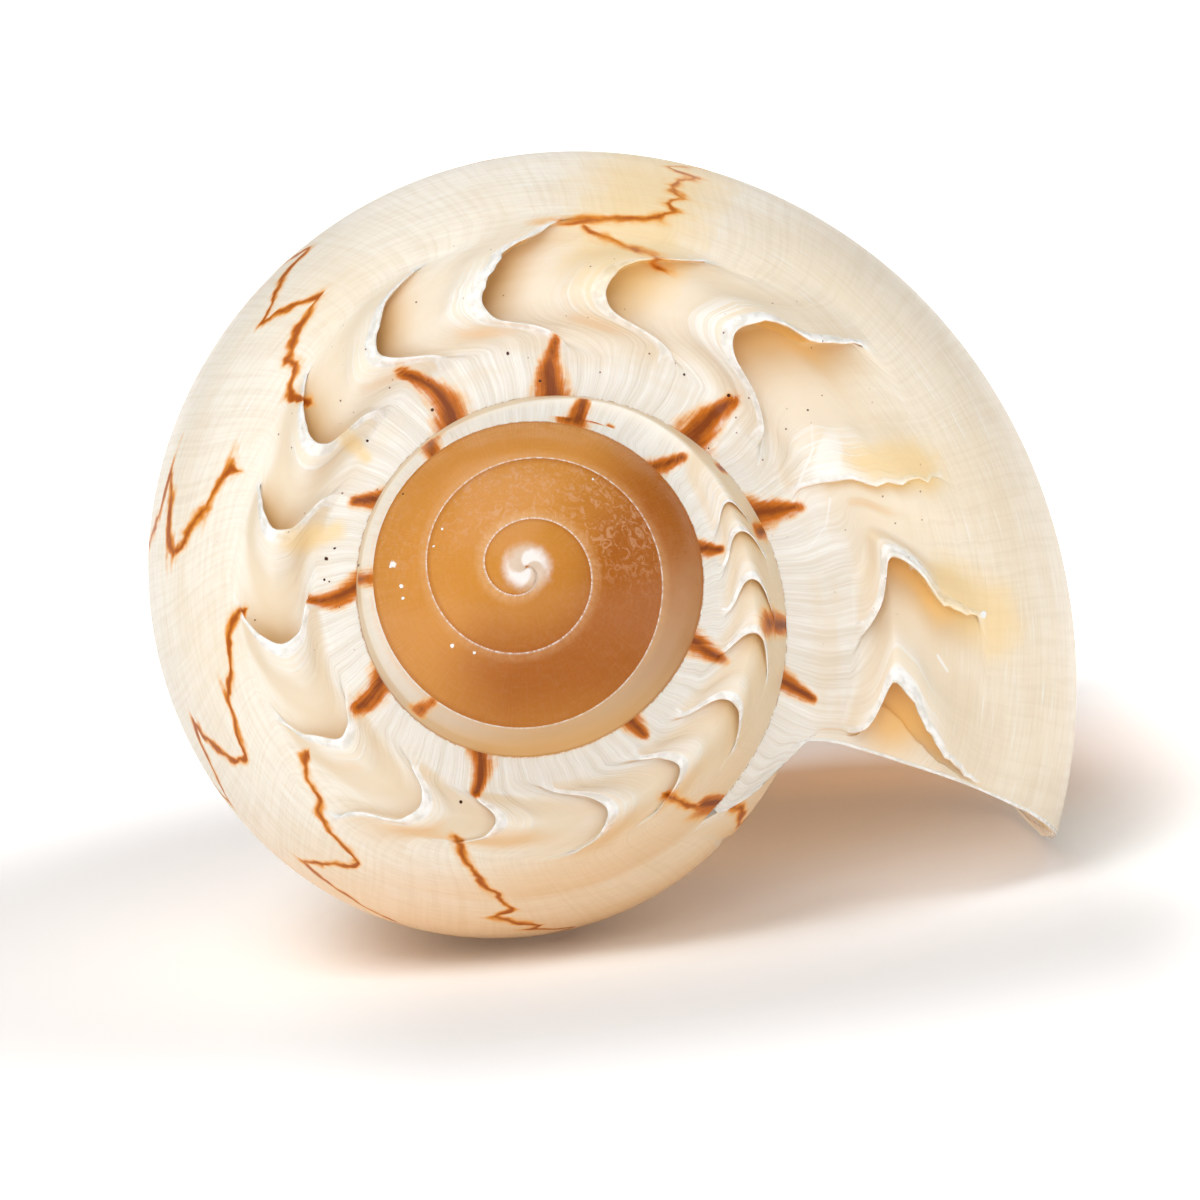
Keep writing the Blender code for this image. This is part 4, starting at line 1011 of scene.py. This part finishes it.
def fluteHollows(g, body):  # amber hollows, part their own colour and part painted shade under the hoods, and pearly rims
    body = (g.edge("hollow") * 0.92).paint(body, "hollow")
    # the deepest amber, right under the rim, is painted shade as well as colour
    deepest = g.edge("lateHollows").blend(looks["hollowDeep"], looks["hollowLate"])
    body = (g.edge("hollowDeep") * 0.8).blend(body, deepest)
    late = 1 - g.apart(*lastHollow["middle"]).soft(*lastHollow["fades"])
    late = late * g.edge("lastLine") * g.edge("lastRow") * g.outside
    body = (late * 0.85).paint(body, "hollowLate")
    g.beads = g.cloud("beads").soft(0.36, 0.62)
    return (g.edge("rim") * 0.85).blend(body, g.beads.blend(looks["shade"], looks["pearl"]))


def orangeDome(g, body):  # the early turns, darker toward the lower right in painted shade, with a painted shadow line under each coil's edge, their pale seams and the white heart
    g.onDome = 1 - (g.growth + (g.middle - 0.5) * 20.0).soft(-745.0, -695.0)
    g.squiggle = g.cloud("squiggle")
    # painted shade: the dome darkens toward the lower right, with some random change of tone
    shade = (g.sideways * 0.075 - g.upward * 0.05 + (g.broad - 0.5) * 1.2 + 0.42).soft(0.0, 1.0)
    dome = shade.blend(looks["dome"], looks["domeShade"])
    dome = ((1 - g.edge("domeHeart")) * 0.6).paint(dome, "domeWarm")
    g.mottled = g.edge("mottleStart") * (1 - g.edge("mottleEnd")) * (g.upward * 0.1 + 0.5).soft(0.1, 0.9)
    dome = (g.squiggle.soft(0.48, 0.64) * (0.07 + g.mottled * 0.42)).paint(dome, "domeMottle")
    tan = g.edge("tanPale").blend(looks["tan"], looks["tanPale"])
    body = ((1 - g.edge("pastTan")) * 0.92).blend(body, tan)
    body = g.onDome.blend(body, dome)
    dots = g.pattern("dots", g.growth, g.reach)
    # painted shadow just under the edge of the coil that follows
    body = (g.edge("joinStart") * (1 - g.edge("joinEnd")) * g.early * 0.55).paint(body, "domeShade")
    toOuter = 1 - g.edge("outerTurns") * 0.4
    g.paleBand = (1 - (g.reach + (dots - 0.5) * 0.7).soft(0.25, 1.5)) * g.early * toOuter
    body = (g.paleBand * (0.3 + dots.soft(0.35, 0.65) * 0.35)).paint(body, "domePale")
    g.edgeLine = (1 - (g.reach + (dots - 0.5) * 0.35).soft(0.05, 0.3)) * g.early
    body = (g.edgeLine * (0.2 + dots.soft(0.42, 0.62) * 0.7)).paint(body, "nucleus")
    angle = g.upward.math("ARCTAN2", g.sideways)
    arms = (angle * 2.0 + g.radius * 1.5 + 3.63 + (g.middle - 0.5) * 2.0).math("SINE").soft(-0.4, 0.5)
    core = 1 - (g.radius + (g.small - 0.5) * 0.8).soft(1.5, 3.1)
    return (core * 0.9).blend(body, arms.blend(looks["nucleusTan"], looks["nucleus"]))


def stroke(g, x1, y1, x2, y2, half, strength):
    dx, dy = x2 - x1, y2 - y1
    long = dx * dx + dy * dy
    share = ((g.sideways - x1) * (dx / long) + (g.upward - y1) * (dy / long)).soft(0.0, 1.0, straight=True)
    gap = ((g.sideways - x1 - share * dx) ** 2.0 + (g.upward - y1 - share * dy) ** 2.0) ** 0.5
    return (1 - (gap + (g.small - 0.5) * 0.15).soft(half * 0.5, half * 1.3)) * strength


def tornHood(g, body):  # the white plate of the broken hood, torn edges and scratches
    bright = functools.reduce(Wire.most, [stroke(g, *one) for one in strokes]) * g.outside * g.edge("byLip")
    b = brokenHood
    (middleX, middleY), (edgeX, edgeY) = b["middle"], b["edge"]
    y = g.upward - middleY
    x = g.sideways - middleX + y * b["lean"]
    plate = 1 - ((x * b["across"]) ** 2.0 + (y * b["along"]) ** 2.0).soft(*b["fades"])
    beyond = g.sideways - edgeX - (g.upward - edgeY) * b["slope"] + (g.small - 0.5) * 0.1
    plate = plate * beyond.soft(*b["sharp"])
    plate = plate * g.edge("byLip") * (1 - g.edge("pastHood")) * g.outside
    return bright.paint((plate * 0.6).paint(body, "white"), "white")


def flecks(g, places):
    def one(x, y, size):
        return 1 - (g.apart(x, y) + (g.small - 0.5) * size * 1.6).soft(size * 0.75, size)
    return functools.reduce(Wire.most, [one(*p) for p in places]) * (1 - g.edge("flecksEnd")) * g.outside


def seamOf(g, body):  # between the last turn and the one before it
    seam = (1 - (g.reach + (g.small - 0.5) * 0.3).soft(0.03, 0.17)) * (1 - g.early)
    dots = g.pattern("seamDots", g.line, g.reach)
    body = (seam * 0.7).blend(body, dots.soft(0.45, 0.6).blend(looks["seam"], looks["white"]))
    return (seam * (1 - dots.soft(0.36, 0.46)) * 0.5).paint(body, "rusty")


def zigzagMask(g, mark, bent, out, along, ahead):
    span, step, points = markRange["span"], markRange["slopeStep"], mark["points"]
    centre = float(np.mean([growth for growth, _ in points]))
    low, high = points[0][1], points[-1][1]
    curve = [(s / markRange["reach"], (growth - centre) / span + 0.5) for growth, s in points]
    here, later = (g.start.node("ShaderNodeFloatCurve", {"curve": curve}, {"Value": at})
                   for at in (along, ahead))
    slope = (later - here) * (span / step) * g.perDegree
    away = abs(bent - (here - 0.5) * span - centre) * g.perDegree / ((slope * slope + 1.0) ** 0.5)
    ends = abs(out - (low + high) / 2) - (high - low) / 2
    return (1 - (away + ends.most(0.0)) / (mark["half"] * 1.1)) * mark["tone"]


def brownMarks(g, body):  # zigzags on the body and spots along the suture, with their golden halo, and painted warm bounce light on faces turned down
    wobble = g.cloud("wobble")
    bent = g.growth + (wobble - 0.5) * 4.0
    out = g.reach + (g.pattern("wander", g.reach, g.growth) - 0.5) * 1.4
    along = out / markRange["reach"]
    ahead = along + markRange["slopeStep"] / markRange["reach"]
    marks = functools.reduce(Wire.most, [zigzagMask(g, m, bent, out, along, ahead) for m in zigzagPoints()])
    thick = g.pattern("thick", g.reach, g.growth)
    gaps = g.edge("farMarks") * g.cloud("fading").soft(0.35, 0.62)
    marks = marks - gaps * 1.2 + (thick - 0.5) * 1.5 + (g.small - 0.5) * 0.25
    marks = marks - (1 - g.outside * g.edge("offDome")) * 4.0
    streak, streakFine = (g.pattern(name, g.line, g.reach) for name in ("streak", "streakFine"))
    spots = g.spot + (streak - 0.5) * 0.9 + (streakFine - 0.5) * 0.5
    spots = spots + (g.small - 0.5) * 0.25 + (g.middle - 0.5) * 0.5
    g.spots = spots - g.inside * 2.0 - (1 - g.edge("spotsFull")) * 0.25
    _, _, facingForBounce = g.parts(g.start.node("ShaderNodeNewGeometry", out=1))
    body = ((facingForBounce * -1.0).soft(0.3, 0.95) * g.outside * 0.55).paint(body, "gold")  # painted warm bounce light on faces turned down
    body = ((g.golden + (g.middle - 0.5) * 0.5).soft(-0.05, 0.8) * 0.6 * g.outside).paint(body, "golden")
    halo = marks.soft(-1.0, 0.3).most(g.spots.soft(-0.55, 0.2)) * g.middle.soft(0.2, 0.6)
    body = (halo * 0.7).paint(body, "gold")
    lineTone = (marks + (wobble - 0.5) * 0.9).soft(0.15, 0.9).blend(looks["lineThin"], looks["line"])
    body = marks.soft(-0.15, 0.45).blend(body, lineTone)
    return g.spots.soft(-0.12, 0.45).blend(body, g.spots.soft(0.3, 1.0).blend(looks["rust"], looks["brown"]))


def specks(g, body):  # tiny ones in and round the hollows
    cells = g.start.node("ShaderNodeTexVoronoi", {"feature": "F1"}, {"Vector": g.place, "Scale": 0.75})
    chosen, _, _ = g.parts(cells.output(1))
    region = g.edge("specksStart") * (1 - g.edge("specksEnd")) * (1 - g.edge("specksRow"))
    return ((1 - cells.soft(0.05, 0.12)) * chosen.soft(0.70, 0.74) * region * 0.85).paint(body, "speck")


def reliefOf(g, chipAndGlint):
    plain = g.ribWide * relief["ribWide"] + g.ribFine * relief["ribFine"] + g.small * relief["grain"]
    height = plain * g.onRamp * (1 - g.amber) * (1 - g.pearl) * (1 - g.crowded)
    lattice = g.threads * relief["threads"] + g.strands * relief["strands"]
    height = height + lattice * g.edge("side") * (1 - g.early) * (1 - g.crowded)
    height = height + g.arcs * relief["arcs"] * (1 - g.pearl)
    height = height - g.edgeLine * relief["edgeLine"] - g.paleBand * relief["paleBand"]
    height = height + g.squiggle * (relief["squiggle"] + g.mottled * relief["mottle"]) * g.onDome
    height = (height + g.beads * relief["beads"] * g.pearl + chipAndGlint * relief["chipAndGlint"]) * g.outside
    return g.start.node("ShaderNodeBump", {}, {"Strength": 1.0, "Distance": 0.001, "Height": height})


def shellMaterial():
    material = bpy.data.materials.new("creamShell")
    material.use_nodes = True
    material.node_tree.nodes.clear()
    g = Ground(material.node_tree)
    body = creamBody(g)
    for layOver in (silkRamp, fluteHollows, orangeDome, tornHood, seamOf, brownMarks):
        body = layOver(g, body)
    # white chips, partly painted glints
    chipAndGlint = flecks(g, chipsAndGlints)
    body = flecks(g, grit).paint(chipAndGlint.paint(body, "white"), "grit")
    lining = (g.broad.soft(0.4, 0.6) * 0.5).blend(looks["inside"], looks["cream"])
    lining = (g.edge("paleLining") * 0.7).paint(lining, "cream")
    body = g.inside.blend(specks(g, body), lining)
    s = surfaceLooks
    gloss = s["roughness"] - g.onDome * s["domeGloss"] - g.pearl * s["pearlGloss"] + g.weave * s["weaveDull"]
    wet = g.pearl * s["pearlCoat"] + g.onRamp * s["rampCoat"]
    wet = wet + g.amber * s["hollowCoat"] + g.onDome * s["domeCoat"]
    wet = wet * (1 - g.spots.soft(-0.2, 0.2) * 0.8) * g.outside
    # light comes through the thin wall by the lip
    through = (g.edge("thinWall") * g.inside * 0.8).blend(looks["black"], looks["inside"])
    surface = g.start.node("ShaderNodeBsdfPrincipled", {}, {
        "Base Color": body, "Roughness": gloss, "Normal": reliefOf(g, chipAndGlint),
        "Specular IOR Level": s["specular"], "Coat Weight": wet, "Coat Roughness": s["coatRoughness"],
        "Emission Color": through, "Emission Strength": s["through"],
        "Subsurface Weight": s["subsurface"], "Subsurface Radius": s["depths"], "Subsurface Scale": 0.001})
    g.start.node("ShaderNodeOutputMaterial", {}, {"Surface": surface})
    return material


shell.data.materials.append(shellMaterial())
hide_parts("melon_shell")
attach(shell, "root")
print("materials done")


# camera, floor and light
view = {"tilt": 6.0, "distance": 700.0, "right": 7.665, "down": 3.465, "lens": 200.0}
studio = {
    "front": -1.6, "back": 0.9, "bend": 0.3, "bendSteps": 24, "halfWide": 3.0,
    "paper": (0.93, 0.925, 0.92, 1.0), "roughness": 0.9, "sky": 0.14,
    "aim": (0.0, 0.0, 0.04), "glowSize": 0.02,
    # how brightly the paper is lit away from the shell: strength, from and to in metres
    "near": (0.4, 0.08, 0.14), "far": (0.85, 0.15, 0.8),
    "right": (0.7, 0.045, 0.08), "left": (0.14, 0.02, 0.045),
    # the painted shadow behind the shell, where the paper glows less
    "shadowFrom": (0.03, 0.06), "shadowTo": (0.10, 0.14), "shadowMiddle": 0.03, "shadowSide": (0.03, 0.06),
    "lamps": [  # name, power, size, place and what it lights
        ("top", 7.0, 1.1, (-0.2, -0.42, 0.95), "shell"),
        ("topPaper", 7.0, 0.6, (-0.4, -0.5, 0.85), "floor"),
        ("front", 2.7, 0.55, (-0.1, -1.0, 0.42), "both"),
        ("fillFront", 0.8, 1.2, (0.1, -1.0, 0.15), "shell"),
        ("fillRight", 0.8, 0.8, (0.9, -0.3, 0.35), "shell"),
        ("fillLeft", 0.45, 0.8, (-0.9, -0.3, 0.35), "shell"),
        ("fillBack", 2.8, 0.8, (0.1, 0.8, 0.75), "shell"),
    ],
    "glows": [  # light that comes through the thin shell onto the paper: name, power, place and colour
        ("glow", 0.0275, (0.0, -0.004, 0.045), (1.0, 0.45, 0.05)),
        ("glowBehind", 0.027, (0.03, 0.055, 0.04), (1.0, 0.38, 0.02)),
        ("glowByLip", 0.026, (0.045, -0.03, 0.03), (1.0, 1.0, 1.0)),
    ],
}


def addObject(name, data):
    obj = bpy.data.objects.new(name, data)
    bpy.context.scene.collection.objects.link(obj)
    return obj


def addCamera():
    tilt = math.radians(view["tilt"])
    right, up, back = axes = np.array([(1.0, 0.0, 0.0), (0.0, math.cos(tilt), math.sin(tilt)),
                                       (0.0, -math.sin(tilt), math.cos(tilt))])
    place = right * view["right"] - up * view["down"] + back * view["distance"]
    camera = bpy.data.cameras.new("camera")
    camera.lens, camera.sensor_width = view["lens"], 36.0
    camera.clip_start, camera.clip_end = 0.01, 20.0
    obj = addObject("camera", camera)
    matrix = Matrix((axes @ layDown.T).T.tolist()).to_4x4()
    matrix.translation = Vector(place @ layDown.T * scale + shift)
    obj.matrix_world = matrix
    bpy.context.scene.camera = obj


def paperMaterial():
    material = bpy.data.materials.new("whitePaper")
    material.use_nodes = True
    material.node_tree.nodes.clear()
    start = Wire(material.node_tree)
    away = start.node("ShaderNodeSeparateXYZ", {}, {0: start.node("ShaderNodeTexCoord", out=3)})
    deep = away.output(1)
    far = (away * away + deep * deep) ** 0.5
    # painted shadow: the paper's glow is taken away behind the shell
    paintedShadow = deep.soft(*studio["shadowFrom"]) * (1 - deep.soft(*studio["shadowTo"]))
    paintedShadow = paintedShadow * (1 - abs(away - studio["shadowMiddle"]).soft(*studio["shadowSide"]))

    def lightUp(name, distance):
        strength, low, high = studio[name]
        return distance.soft(low, high) * strength

    lit = lightUp("near", far) * (1 - paintedShadow) + lightUp("far", far)
    lit = lit + lightUp("right", away) + lightUp("left", away * -1.0)
    surface = start.node("ShaderNodeBsdfPrincipled", {}, {
        "Base Color": studio["paper"], "Roughness": studio["roughness"],
        "Emission Color": lit.blend((0.0, 0.0, 0.0, 1.0), (1.0, 1.0, 1.0, 1.0)), "Emission Strength": 1.0})
    start.node("ShaderNodeOutputMaterial", {}, {"Surface": surface})
    return material


def addStage():
    back, bend, half = studio["back"], studio["bend"], studio["halfWide"]
    turn = np.linspace(0, math.pi / 2, studio["bendSteps"])[1:]
    profile = [(studio["front"], 0.0), (back, 0.0)]
    profile += [(back + bend * math.sin(a), bend - bend * math.cos(a)) for a in turn]
    verts = [(x, y, z) for y, z in profile for x in (-half, half)]
    faces = [(2 * i, 2 * i + 1, 2 * i + 3, 2 * i + 2) for i in range(len(profile) - 1)]
    mesh = bpy.data.meshes.new("floor")
    mesh.from_pydata(verts, [], faces)
    mesh.polygons.foreach_set("use_smooth", [True] * len(mesh.polygons))
    mesh.materials.append(paperMaterial())
    floor = addObject("floor", mesh)
    return floor


def addLights(floor):  # the lamps aim at the shell, and most light only it or only the paper
    only = {"both": None}
    for name, obj in (("shell", shell), ("floor", floor)):
        only[name] = bpy.data.collections.new(name + "Only")
        only[name].objects.link(obj)
    aim = Vector(studio["aim"])
    for name, power, size, place, lights in studio["lamps"]:
        light = bpy.data.lights.new(name, "AREA")
        light.energy, light.size = power, size
        obj = addObject(name, light)
        obj.location = place
        obj.rotation_euler = (aim - Vector(place)).to_track_quat("-Z", "Y").to_euler()
        obj.light_linking.receiver_collection = only[lights]
    for name, power, place, tint in studio["glows"]:
        light = bpy.data.lights.new(name, "POINT")
        light.energy, light.color, light.shadow_soft_size = power, tint, studio["glowSize"]
        light.use_shadow = False
        obj = addObject(name, light)
        obj.location = place
        obj.light_linking.receiver_collection = only["floor"]


addCamera()
addLights(addStage())
world = bpy.data.worlds.new("studio")
world.use_nodes = True
sky = world.node_tree.nodes["Background"].inputs
sky["Color"].default_value, sky["Strength"].default_value = (1.0, 1.0, 1.0, 1.0), studio["sky"]
bpy.context.scene.world = world
bpy.context.scene.view_settings.view_transform = "Standard"
print("camera, floor and light done")
